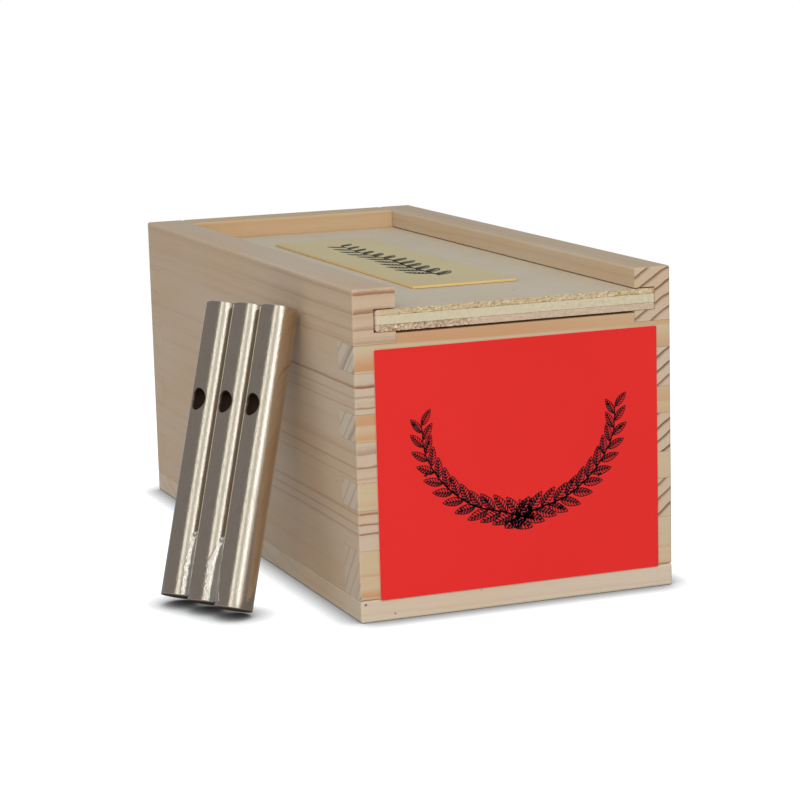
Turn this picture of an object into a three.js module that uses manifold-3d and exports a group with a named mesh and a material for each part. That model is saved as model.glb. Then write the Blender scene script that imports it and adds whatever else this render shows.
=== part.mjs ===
// A three-tube metal bird whistle leaning on its sliding-lid wooden box.
//
// Units are millimetres. +Z is up and the origin is the centre of the box's underside.
// The box's labelled end faces -Y, the lid slides out towards -Y, and the whistle leans
// on the outside of the box's left (-X) wall.

import * as THREE from 'three';
import { mergeVertices } from 'three/addons/utils/BufferGeometryUtils.js';
import Module from 'manifold-3d';

const wasm = await Module();
wasm.setup();

// Box, outside
const BOX_WIDTH = 69.0;
const BOX_DEPTH = 144.0;
const BOX_HEIGHT = 66.8;

// Boards of the box
const BASE_THICKNESS = 4.5;
const LEFT_WALL_THICKNESS = 8.9;
const RIGHT_WALL_THICKNESS = 8.1;
const END_WALL_THICKNESS = 8.9;
const JOINT_TOP = 55.7;
const FRONT_WALL_TOP = 57.6;
const GLUE_LINE = 0.05;

// Finger joints: the end walls' tongues, counted down from the joints' top
const TONGUE_COUNT = 4;
const TONGUE_PITCH = 13.7;
const TONGUE_HEIGHT = 5.5;

// Grooves that the lid slides in
const GROOVE_BOTTOM = 58.0;
const GROOVE_HEIGHT = 4.7;
const GROOVE_DEPTH = 4.6;

// Plywood lid
const FACE_PLY = 1.15;
const CORE_PLY = 1.85;
const UNDER_PLY = 1.4;
const LID_UNDER_GAP = 0.1;
const LID_LEFT_GAP = 0.35;
const LID_RIGHT_GAP = 0.15;
const LID_REAR_GAP = 0.3;

// Labels
const FRONT_LABEL = { left: -30.4, right: 31.2, bottom: 4.3, top: 54.7, thickness: 0.3 };
const LID_LABEL = { width: 23.3, length: 88.6, x: -0.35, y: -3.3, thickness: 0.6 };

// Whistle
const TUBE_DIAMETER = 7.9;
const TUBE_WALL = 0.5;
const TUBE_PITCH = 8.1;
const TUBE_LENGTHS = [61.8, 62.1, 62.4];
const TUBE_FOOT_STEPS = [1.77, 0.88, 0];
const TUBE_SIDES = 72;
const WINDOW_FROM_TOP = 20.9;
const WINDOW_WIDTH = 3.9;
const WINDOW_LENGTH = 4.7;
const WINDWAY_HEIGHT = 0.9;
const INNER_FIT = 0.15;
const PLUG_RECESS = 0.3;
const STOPPER_THICKNESS = 2.5;
const STOPPER_RECESS = 0.3;

// Solder run between two tubes
const SOLDER_LENGTH = 13.6;
const SOLDER_INNER_ANGLE = THREE.MathUtils.degToRad(20);
const SOLDER_OUTER_ANGLE = THREE.MathUtils.degToRad(58);
const SOLDER_STEPS = 6;
const SOLDER_DISH = 0.45;

// How the whistle stands: the foot of its right-hand tube, and its turn, lean and tilt
const WHISTLE_FOOT = new THREE.Vector3(-55.8, -55.2, 1.55);
const WHISTLE_TURN = THREE.MathUtils.degToRad(-65.7);
const WHISTLE_LEAN = THREE.MathUtils.degToRad(-20.7);
const WHISTLE_TILT = THREE.MathUtils.degToRad(-6.3);

// Sizes that follow
const HALF_WIDTH = BOX_WIDTH / 2;
const HALF_DEPTH = BOX_DEPTH / 2;
const WALL_BOTTOM = BASE_THICKNESS + GLUE_LINE;
const CAVITY_LEFT = -HALF_WIDTH + LEFT_WALL_THICKNESS;
const CAVITY_RIGHT = HALF_WIDTH - RIGHT_WALL_THICKNESS;
const CAVITY_REAR = HALF_DEPTH - END_WALL_THICKNESS;
const LID_BOTTOM = GROOVE_BOTTOM + LID_UNDER_GAP;
const LID_TOP = LID_BOTTOM + FACE_PLY + CORE_PLY + UNDER_PLY;
const TUBE_RADIUS = TUBE_DIAMETER / 2;
const BORE_RADIUS = TUBE_RADIUS - TUBE_WALL;
const INNER_RADIUS = BORE_RADIUS - INNER_FIT;

const MATERIALS = {
  pine: { color: 0xd8bd96, roughness: 0.65, metalness: 0 },
  endPine: { color: 0xcfae84, roughness: 0.7, metalness: 0 },
  facePly: { color: 0xd9cba9, roughness: 0.6, metalness: 0 },
  corePly: { color: 0xe2d9b4, roughness: 0.75, metalness: 0 },
  underPly: { color: 0xc9a988, roughness: 0.75, metalness: 0 },
  redCard: { color: 0xe5332d, roughness: 0.5, metalness: 0 },
  yellowCard: { color: 0xd9c67e, roughness: 0.5, metalness: 0 },
  nickel: { color: 0xc9c4b4, roughness: 0.18, metalness: 1 },
  solder: { color: 0xb9b7b0, roughness: 0.35, metalness: 1 },
  plugWood: { color: 0x8a6642, roughness: 0.7, metalness: 0 },
  stopperMetal: { color: 0x9a968c, roughness: 0.4, metalness: 1 },
};

// Planes that an extruded outline is turned into: a side wall's, and an end wall's
const SIDE_PLANE = new THREE.Matrix4().makeBasis(
  new THREE.Vector3(0, 1, 0),
  new THREE.Vector3(0, 0, 1),
  new THREE.Vector3(1, 0, 0),
);
const END_PLANE = new THREE.Matrix4().makeBasis(
  new THREE.Vector3(1, 0, 0),
  new THREE.Vector3(0, 0, 1),
  new THREE.Vector3(0, -1, 0),
);

function makeMesh(name, geometry, material) {
  const mesh = new THREE.Mesh(geometry, new THREE.MeshStandardMaterial(MATERIALS[material]));
  mesh.name = name;
  return mesh;
}

// A box between two corners
function blockGeometry(low, high) {
  const geometry = new THREE.BoxGeometry(high[0] - low[0], high[1] - low[1], high[2] - low[2]);
  geometry.translate((low[0] + high[0]) / 2, (low[1] + high[1]) / 2, (low[2] + high[2]) / 2);
  return geometry;
}

// A board of the given outline and thickness, in one of those planes
function boardGeometry(outline, thickness, plane) {
  const shape = new THREE.Shape(outline.map(([u, v]) => new THREE.Vector2(u, v)));
  const geometry = new THREE.ExtrudeGeometry(shape, { depth: thickness, bevelEnabled: false });
  geometry.applyMatrix4(plane);
  return geometry;
}

function toSolid(geometry) {
  const bare = geometry.index ? geometry.toNonIndexed() : geometry.clone();
  bare.deleteAttribute('normal');
  bare.deleteAttribute('uv');
  const merged = mergeVertices(bare, 1e-5);
  return new wasm.Manifold(new wasm.Mesh({
    numProp: 3,
    vertProperties: new Float32Array(merged.attributes.position.array),
    triVerts: new Uint32Array(merged.index.array),
  }));
}

function toGeometry(solid) {
  const mesh = solid.getMesh();
  const geometry = new THREE.BufferGeometry();
  geometry.setAttribute('position', new THREE.BufferAttribute(mesh.vertProperties, 3));
  geometry.setIndex(new THREE.BufferAttribute(mesh.triVerts, 1));
  geometry.computeVertexNormals();
  return geometry;
}

// The height ranges of the end walls' tongues, from the top one down to the base
function tongueRanges() {
  return Array.from({ length: TONGUE_COUNT }, (_, i) => {
    const top = JOINT_TOP - i * TONGUE_PITCH;
    const bottom = i === TONGUE_COUNT - 1 ? WALL_BOTTOM : top - TONGUE_HEIGHT;
    return { top, bottom };
  });
}

// A side wall's stepped end, going up: at `slot` beside the other board's tongues, at `face` between
function steppedEdge(slot, face) {
  const tongues = tongueRanges().reverse();
  return tongues.flatMap((tongue, i) => {
    const low = Math.max(tongue.bottom - GLUE_LINE, WALL_BOTTOM);
    const high = tongue.top + GLUE_LINE;
    const next = i + 1 < tongues.length ? tongues[i + 1].bottom - GLUE_LINE : BOX_HEIGHT;
    return [[slot, low], [slot, high], [face, high], [face, next]];
  });
}

// A side wall, with slots for both end walls' tongues and the lid's groove on its inner face
function sideWallGeometry(outerX, innerX) {
  const slotInner = HALF_DEPTH - END_WALL_THICKNESS - GLUE_LINE;
  const front = steppedEdge(-slotInner, -HALF_DEPTH);
  const rear = steppedEdge(slotInner, HALF_DEPTH).reverse();
  const board = boardGeometry([...front, ...rear], Math.abs(innerX - outerX), SIDE_PLANE);
  board.translate(Math.min(innerX, outerX), 0, 0);
  const inward = Math.sign(innerX - outerX);
  const grooveX = [innerX - inward * GROOVE_DEPTH, innerX + inward].sort((a, b) => a - b);
  const groove = blockGeometry(
    [grooveX[0], -HALF_DEPTH - 1, GROOVE_BOTTOM],
    [grooveX[1], CAVITY_REAR, GROOVE_BOTTOM + GROOVE_HEIGHT],
  );
  return toGeometry(toSolid(board).subtract(toSolid(groove)));
}

// An end wall between the side walls, with its tongues reaching through them. Above the joints
// it rises between the side walls to its top.
function endWallGeometry(top, frontY) {
  const tongues = tongueRanges().reverse();
  const side = (inner, outer) => tongues.flatMap(({ top: high, bottom: low }, i) => [
    ...(i > 0 ? [[inner, low]] : []),
    [outer, low],
    [outer, high],
    ...(i < tongues.length - 1 ? [[inner, high]] : []),
  ]);
  const right = CAVITY_RIGHT - GLUE_LINE;
  const left = CAVITY_LEFT + GLUE_LINE;
  const outline = [
    ...side(right, HALF_WIDTH),
    [right, JOINT_TOP],
    [right, top],
    [left, top],
    [left, JOINT_TOP],
    ...side(left, -HALF_WIDTH).reverse(),
  ];
  const geometry = boardGeometry(outline, END_WALL_THICKNESS, END_PLANE);
  geometry.translate(0, frontY + END_WALL_THICKNESS, 0);
  return geometry;
}

function makeBox() {
  const box = new THREE.Group();
  box.add(makeMesh('base_board', blockGeometry(
    [-HALF_WIDTH, -HALF_DEPTH, 0],
    [HALF_WIDTH, HALF_DEPTH, BASE_THICKNESS],
  ), 'pine'));
  box.add(makeMesh('left_wall', sideWallGeometry(-HALF_WIDTH, CAVITY_LEFT), 'pine'));
  box.add(makeMesh('right_wall', sideWallGeometry(HALF_WIDTH, CAVITY_RIGHT), 'pine'));
  box.add(makeMesh('front_wall', endWallGeometry(FRONT_WALL_TOP, -HALF_DEPTH), 'endPine'));
  box.add(makeMesh('rear_wall', endWallGeometry(BOX_HEIGHT, CAVITY_REAR), 'endPine'));
  box.add(makeMesh('front_label', blockGeometry(
    [FRONT_LABEL.left, -HALF_DEPTH - GLUE_LINE - FRONT_LABEL.thickness, FRONT_LABEL.bottom],
    [FRONT_LABEL.right, -HALF_DEPTH - GLUE_LINE, FRONT_LABEL.top],
  ), 'redCard'));
  return box;
}

// Three veneers, glued one on another, and the card label on the top one
function makeLid() {
  const lid = new THREE.Group();
  const left = CAVITY_LEFT - GROOVE_DEPTH + LID_LEFT_GAP;
  const right = CAVITY_RIGHT + GROOVE_DEPTH - LID_RIGHT_GAP;
  const plies = [
    ['lid_under_ply', UNDER_PLY, 'underPly'],
    ['lid_core_ply', CORE_PLY, 'corePly'],
    ['lid_face_ply', FACE_PLY, 'facePly'],
  ];
  let bottom = LID_BOTTOM;
  for (const [name, thickness, material] of plies) {
    lid.add(makeMesh(name, blockGeometry(
      [left, -HALF_DEPTH, bottom],
      [right, CAVITY_REAR - LID_REAR_GAP, bottom + thickness - GLUE_LINE],
    ), material));
    bottom += thickness;
  }
  lid.add(makeMesh('lid_label', blockGeometry(
    [LID_LABEL.x - LID_LABEL.width / 2, LID_LABEL.y - LID_LABEL.length / 2, LID_TOP],
    [LID_LABEL.x + LID_LABEL.width / 2, LID_LABEL.y + LID_LABEL.length / 2, LID_TOP + LID_LABEL.thickness],
  ), 'yellowCard'));
  return lid;
}

// A solid of revolution about Z from a closed or axis-to-axis profile of [radius, height] points
function turnedGeometry(profile, sides) {
  const geometry = new THREE.LatheGeometry(profile.map(([r, z]) => new THREE.Vector2(r, z)), sides);
  geometry.rotateX(Math.PI / 2);
  return geometry;
}

// A tube, open at both ends, with its sound window cut through the front of its wall
function tubeGeometry(length) {
  const tube = turnedGeometry([
    [BORE_RADIUS, 0],
    [TUBE_RADIUS, 0],
    [TUBE_RADIUS, length],
    [BORE_RADIUS, length],
    [BORE_RADIUS, 0],
  ], TUBE_SIDES);
  const outline = new THREE.Shape();
  outline.absellipse(0, length - WINDOW_FROM_TOP, WINDOW_WIDTH / 2, WINDOW_LENGTH / 2, 0, Math.PI * 2);
  const cutter = new THREE.ExtrudeGeometry(outline, { depth: TUBE_DIAMETER, bevelEnabled: false, curveSegments: 14 });
  cutter.applyMatrix4(END_PLANE);
  return toGeometry(toSolid(tube).subtract(toSolid(cutter)));
}

// The plug that fills the mouth end, but for a flat windway along its front
function windwayPlugGeometry(length) {
  const flat = INNER_RADIUS - WINDWAY_HEIGHT;
  const start = Math.PI * 1.5 + Math.acos(flat / INNER_RADIUS);
  const end = Math.PI * 3.5 - Math.acos(flat / INNER_RADIUS);
  const outline = new THREE.Shape();
  outline.absarc(0, 0, INNER_RADIUS, start, end);
  return new THREE.ExtrudeGeometry(outline, { depth: length, bevelEnabled: false, curveSegments: 20 });
}

function stopperGeometry() {
  return turnedGeometry([
    [0, 0],
    [INNER_RADIUS, 0],
    [INNER_RADIUS, STOPPER_THICKNESS],
    [0, STOPPER_THICKNESS],
  ], TUBE_SIDES / 2);
}

// Solder between two tubes: it follows both tubes' walls and dishes in between them
function solderGeometry(side) {
  const radius = TUBE_RADIUS + INNER_FIT;
  const span = SOLDER_OUTER_ANGLE - SOLDER_INNER_ANGLE;
  const wall = Array.from({ length: SOLDER_STEPS + 1 }, (_, i) => {
    const angle = SOLDER_INNER_ANGLE + span * i / SOLDER_STEPS;
    return [radius * Math.cos(angle), -radius * Math.sin(angle)];
  });
  const [edgeX, edgeY] = wall[SOLDER_STEPS];
  const across = TUBE_PITCH - 2 * edgeX;
  const face = Array.from({ length: SOLDER_STEPS - 1 }, (_, i) => {
    const t = (i + 1) / SOLDER_STEPS;
    return [edgeX + across * t, edgeY + SOLDER_DISH * 4 * t * (1 - t)];
  });
  const mirrored = wall.map(([x, y]) => [TUBE_PITCH - x, y]).reverse();
  const outline = [...wall, ...face, ...mirrored].map(([x, y]) => new THREE.Vector2(x, y * side));
  return new THREE.ExtrudeGeometry(new THREE.Shape(outline), { depth: SOLDER_LENGTH, bevelEnabled: false });
}

function makeWhistle() {
  const whistle = new THREE.Group();
  const plugLength = WINDOW_FROM_TOP - WINDOW_LENGTH / 2 - PLUG_RECESS;
  TUBE_LENGTHS.forEach((length, i) => {
    const column = new THREE.Group();
    const number = i + 1;
    column.position.set((i + 1 - TUBE_LENGTHS.length) * TUBE_PITCH, 0, TUBE_FOOT_STEPS[i]);
    column.add(makeMesh(`tube_${number}`, tubeGeometry(length), 'nickel'));
    const plug = makeMesh(`windway_plug_${number}`, windwayPlugGeometry(plugLength), 'plugWood');
    plug.position.z = length - PLUG_RECESS - plugLength;
    const stopper = makeMesh(`end_stopper_${number}`, stopperGeometry(), 'stopperMetal');
    stopper.position.z = STOPPER_RECESS;
    column.add(plug, stopper);
    if (number < TUBE_LENGTHS.length) {
      const foot = Math.max(0, TUBE_FOOT_STEPS[i + 1] - TUBE_FOOT_STEPS[i]);
      for (const [place, side] of [['front', 1], ['rear', -1]]) {
        const solder = makeMesh(`solder_${place}_${number}`, solderGeometry(side), 'solder');
        solder.position.z = foot;
        column.add(solder);
      }
    }
    whistle.add(column);
  });
  whistle.rotation.set(WHISTLE_LEAN, WHISTLE_TILT, WHISTLE_TURN, 'ZXY');
  whistle.position.copy(WHISTLE_FOOT);
  return whistle;
}

const part = new THREE.Group();
part.add(makeBox(), makeLid(), makeWhistle());
part.updateMatrixWorld(true);

export default part;
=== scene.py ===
"""A metal bird whistle of three soldered tubes, leaning on its sliding-lid pine box.

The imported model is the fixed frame, and this script gives every piece its fine shape and finish.
Places are in the model's own frame: +Z up, the box's labelled end towards -Y, the whistle beside
the box's left (-X) wall. Sizes are written in millimetres and become metres when a mesh is made.
"""
import logging
import math
from collections.abc import Mapping, Sequence
from dataclasses import dataclass
from enum import Enum

import bmesh
import bpy
from mathutils import Matrix, Vector, noise


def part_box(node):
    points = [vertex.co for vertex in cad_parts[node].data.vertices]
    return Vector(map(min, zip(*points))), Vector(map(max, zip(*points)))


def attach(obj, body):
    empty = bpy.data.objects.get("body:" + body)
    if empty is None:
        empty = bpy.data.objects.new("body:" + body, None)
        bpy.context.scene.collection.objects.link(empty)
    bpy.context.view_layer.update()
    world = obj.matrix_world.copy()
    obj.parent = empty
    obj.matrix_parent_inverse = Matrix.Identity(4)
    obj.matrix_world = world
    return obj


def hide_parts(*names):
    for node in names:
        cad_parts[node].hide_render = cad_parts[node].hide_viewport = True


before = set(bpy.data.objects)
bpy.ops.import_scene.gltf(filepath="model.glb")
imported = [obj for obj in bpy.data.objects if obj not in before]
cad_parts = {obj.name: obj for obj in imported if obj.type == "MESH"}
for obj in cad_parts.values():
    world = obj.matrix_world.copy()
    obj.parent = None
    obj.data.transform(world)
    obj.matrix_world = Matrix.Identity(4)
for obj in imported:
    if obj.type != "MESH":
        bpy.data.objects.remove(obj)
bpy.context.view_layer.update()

MM = 0.001
LOG = logging.getLogger("boxed_whistle")

Colour = tuple[float, float, float]
WHITE: Colour = (1.0, 1.0, 1.0)


class Axis(Enum):
    """The direction that a board's grain runs in."""

    X = 0
    Y = 1
    Z = 2


class Wire:
    """An output socket that takes part in plain arithmetic."""

    def __init__(self, tree: "Tree", socket: bpy.types.NodeSocket) -> None:
        """Keeps the tree that the socket is in."""
        self.tree = tree
        self.socket = socket

    def __add__(self, other: "Wire | float") -> "Wire":
        """Adds a Math node: this plus other."""
        return self.tree.math("ADD", self, other)

    def __radd__(self, other: float) -> "Wire":
        """Adds a Math node: other plus this."""
        return self.tree.math("ADD", other, self)

    def __sub__(self, other: "Wire | float") -> "Wire":
        """Adds a Math node: this minus other."""
        return self.tree.math("SUBTRACT", self, other)

    def __rsub__(self, other: float) -> "Wire":
        """Adds a Math node: other minus this."""
        return self.tree.math("SUBTRACT", other, self)

    def __mul__(self, other: "Wire | float") -> "Wire":
        """Adds a Math node: this times other."""
        return self.tree.math("MULTIPLY", self, other)

    def __rmul__(self, other: float) -> "Wire":
        """Adds a Math node: other times this."""
        return self.tree.math("MULTIPLY", other, self)

    def __truediv__(self, other: "Wire | float") -> "Wire":
        """Adds a Math node: this divided by other."""
        return self.tree.math("DIVIDE", self, other)

    def __pow__(self, other: "Wire | float") -> "Wire":
        """Adds a Math node: this to the power of other."""
        return self.tree.math("POWER", self, other)


class Tree:
    """A node tree under construction."""

    def __init__(self, tree: bpy.types.NodeTree) -> None:
        """Takes over an empty or new node tree."""
        self.tree = tree

    def feed(self, socket: bpy.types.NodeSocket, value: object) -> None:
        """Links a wire to a socket, or sets the socket's own value.

        Args:
            socket: The input socket.
            value: A Wire, a number, a vector or a colour.
        """
        if isinstance(value, Wire):
            self.tree.links.new(value.socket, socket)
        elif isinstance(value, tuple) and len(value) == 3 and socket.type == "RGBA":
            socket.default_value = (*value, 1.0)
        else:
            socket.default_value = value

    def node(
        self,
        kind: str,
        settings: Mapping[str, object] | None = None,
        inputs: Mapping[str | int, object] | None = None,
        output: str | int = 0,
    ) -> Wire:
        """Adds a node, sets it up and feeds its sockets.

        Args:
            kind: The node's type.
            settings: The node's own properties, set first.
            inputs: A value or wire for each socket, by name or number.
            output: The output socket to return, by name or number.

        Returns:
            The chosen output.
        """
        made = self.tree.nodes.new(kind)
        for key, value in (settings or {}).items():
            setattr(made, key, value)
        for key, value in (inputs or {}).items():
            self.feed(made.inputs[key], value)
        return Wire(self, made.outputs[output])

    def math(self, operation: str, *values: "Wire | float") -> Wire:
        """Adds a Math node with the given values on its sockets, in order."""
        return self.node("ShaderNodeMath", {"operation": operation}, dict(enumerate(values)))

    def combine(self, x: "Wire | float", y: "Wire | float", z: "Wire | float") -> Wire:
        """Joins three numbers to a vector."""
        return self.node("ShaderNodeCombineXYZ", None, {0: x, 1: y, 2: z})

    def split(self, vector: Wire) -> tuple[Wire, Wire, Wire]:
        """Splits a vector.

        Args:
            vector: The vector.

        Returns:
            Its three numbers.
        """
        first = self.node("ShaderNodeSeparateXYZ", None, {0: vector})
        outputs = first.socket.node.outputs
        return first, Wire(self, outputs[1]), Wire(self, outputs[2])


class ShaderTree(Tree):
    """A shader tree: noise, steps and colour mixes."""

    def cloud(self, vector: Wire, scale: float, detail: float = 2.0, rough: float = 0.5) -> Wire:
        """Smooth noise from 0 to 1."""
        inputs = {"Vector": vector, "Scale": scale, "Detail": detail, "Roughness": rough}
        return self.node("ShaderNodeTexNoise", None, inputs, "Fac")

    def step(self, value: "Wire | float", start: float, end: float) -> Wire:
        """Goes smoothly from 0 to 1 as value goes from start to end."""
        inputs = {"Value": value, "From Min": start, "From Max": end}
        return self.node("ShaderNodeMapRange", {"interpolation_type": "SMOOTHSTEP"}, inputs)

    def mix(self, factor: "Wire | float", a: object, b: object, blend: str = "MIX") -> Wire:
        """Mixes two colours.

        Args:
            factor: 0 for a, 1 for b.
            a: A colour or a wire that carries one.
            b: The same.
            blend: The Mix node's blend type.

        Returns:
            The mixed colour.
        """
        settings = {"data_type": "RGBA", "blend_type": blend, "clamp_factor": True}
        return self.node("ShaderNodeMix", settings, {0: factor, 6: a, 7: b}, 2)


class MaterialTree(ShaderTree):
    """A material's node tree."""

    def __init__(self, name: str) -> None:
        """Makes an empty material.

        Args:
            name: The material's name.
        """
        self.material = bpy.data.materials.new(name)
        self.material.use_nodes = True
        self.material.node_tree.nodes.clear()
        super().__init__(self.material.node_tree)

    def place(self) -> Wire:
        """The point on the object, in millimetres."""
        point = self.node("ShaderNodeTexCoord", output="Object")
        return self.node("ShaderNodeVectorMath", {"operation": "SCALE"}, {0: point, "Scale": 1 / MM})

    def own(self, name: str) -> Wire:
        """A vector attribute of the piece's own mesh."""
        return self.node("ShaderNodeAttribute", {"attribute_name": name}, output="Vector")

    def facing(self) -> tuple[Wire, Wire, Wire]:
        """The three parts of the surface's normal."""
        return self.split(self.node("ShaderNodeTexCoord", output="Normal"))

    def cells(self, vector: Wire, scale: float) -> Wire:
        """Cell noise: a random colour for each cell."""
        return self.node("ShaderNodeTexVoronoi", None, {"Vector": vector, "Scale": scale}, "Color")

    def mark(self, place: Wire, colour: "Wire | Colour", spot: "Mark") -> Wire:
        """Puts a small mark on a colour.

        Args:
            place: The point on the object, in millimetres.
            colour: The colour so far.
            spot: The mark.

        Returns:
            The colour with the mark.
        """
        gap = self.node("ShaderNodeVectorMath", {"operation": "DISTANCE"},
                        {0: place, 1: Vector(spot.at)}, "Value")
        ragged = gap + (self.cloud(place, 1.1 / spot.radius) - 0.5) * spot.radius
        inside = 1 - self.step(ragged, spot.radius * 0.5, spot.radius)
        return self.mix(inside * spot.strength, colour, spot.colour)

    def bump(self, height: Wire, relief: float) -> Wire:
        """Turns a height from 0 to 1 into a normal; the relief is in millimetres."""
        inputs = {"Height": height, "Distance": relief * MM}
        return self.node("ShaderNodeBump", None, inputs, "Normal")

    def surface(self, **sockets: object) -> bpy.types.Material:
        """Closes the tree with one Principled shader.

        Args:
            **sockets: The shader's inputs, with underscores for spaces in their names.

        Returns:
            The finished material.
        """
        inputs = {key.replace("_", " "): value for key, value in sockets.items()}
        return self.close(self.node("ShaderNodeBsdfPrincipled", None, inputs))

    def close(self, shader: Wire) -> bpy.types.Material:
        """Ends the tree.

        Args:
            shader: The surface's shader.

        Returns:
            The finished material.
        """
        output = self.tree.nodes.new("ShaderNodeOutputMaterial")
        self.feed(output.inputs["Surface"], shader)
        return self.material


class GeometryTree(Tree):
    """A Geometry Nodes tree with named inputs, which ends in one material."""

    SOCKETS = {float: "NodeSocketFloat", int: "NodeSocketInt", bpy.types.Object: "NodeSocketObject"}

    def __init__(self, name: str, inputs: Mapping[str, object]) -> None:
        """Makes a tree with a geometry input and output and one named input for each value.

        Args:
            name: The tree's name.
            inputs: Each input's name and the value that it gets on the modifier.
        """
        super().__init__(bpy.data.node_groups.new(name, "GeometryNodeTree"))
        face = self.tree.interface
        face.new_socket("Geometry", in_out="INPUT", socket_type="NodeSocketGeometry")
        face.new_socket("Geometry", in_out="OUTPUT", socket_type="NodeSocketGeometry")
        self.values = dict(inputs)
        for key, value in inputs.items():
            face.new_socket(key, in_out="INPUT", socket_type=self.SOCKETS[type(value)])
        self.entry = self.tree.nodes.new("NodeGroupInput")

    def given(self, name: str) -> Wire:
        """One of the tree's own inputs."""
        return Wire(self, self.entry.outputs[name])

    def close(self, geometry: Wire, material: bpy.types.Material) -> None:
        """Realizes the instances, sets the material and links the tree's output.

        Args:
            geometry: What the tree has made.
            material: The material of all of it.
        """
        real = self.node("GeometryNodeRealizeInstances", None, {0: geometry})
        dressed = self.node("GeometryNodeSetMaterial", None, {"Geometry": real, "Material": material})
        exit_node = self.tree.nodes.new("NodeGroupOutput")
        self.feed(exit_node.inputs[0], dressed)

    def run(self, base: bpy.types.Object, name: str) -> bpy.types.Object:
        """Runs the tree on an object and returns the result as a plain mesh object.

        Args:
            base: The object whose geometry goes in. It is removed afterwards.
            name: The finished piece's name.

        Returns:
            The finished piece.
        """
        modifier = base.modifiers.new(name, "NODES")
        modifier.node_group = self.tree
        for item in self.tree.interface.items_tree:
            if item.in_out == "INPUT" and item.name in self.values:
                modifier[item.identifier] = self.values[item.name]
        graph = bpy.context.evaluated_depsgraph_get()
        mesh = bpy.data.meshes.new_from_object(base.evaluated_get(graph))
        bpy.data.objects.remove(base)
        piece = bpy.data.objects.new(name, mesh)
        bpy.context.scene.collection.objects.link(piece)
        return piece


@dataclass(frozen=True)
class Mark:
    """A small mark on a surface: its place and radius in millimetres, colour and strength."""

    at: tuple[float, float, float]
    radius: float
    colour: Colour
    strength: float


@dataclass(frozen=True)
class LateWood:
    """One dark growth line, sharp below and soft above.

    It starts at the height "at" on the board's shown face and fades over its width. It has its
    whole strength on the end grain, and the share on_face of it on the long faces.
    """

    at: float
    width: float
    strength: float
    on_face: float = 1.0


@dataclass(frozen=True)
class Cut:
    """One cut through the wood: its early and late colours, and how strong the rings are."""

    early: Colour = (0.62, 0.465, 0.32)
    late: Colour = (0.30, 0.135, 0.065)
    contrast: float = 0.16


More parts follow.
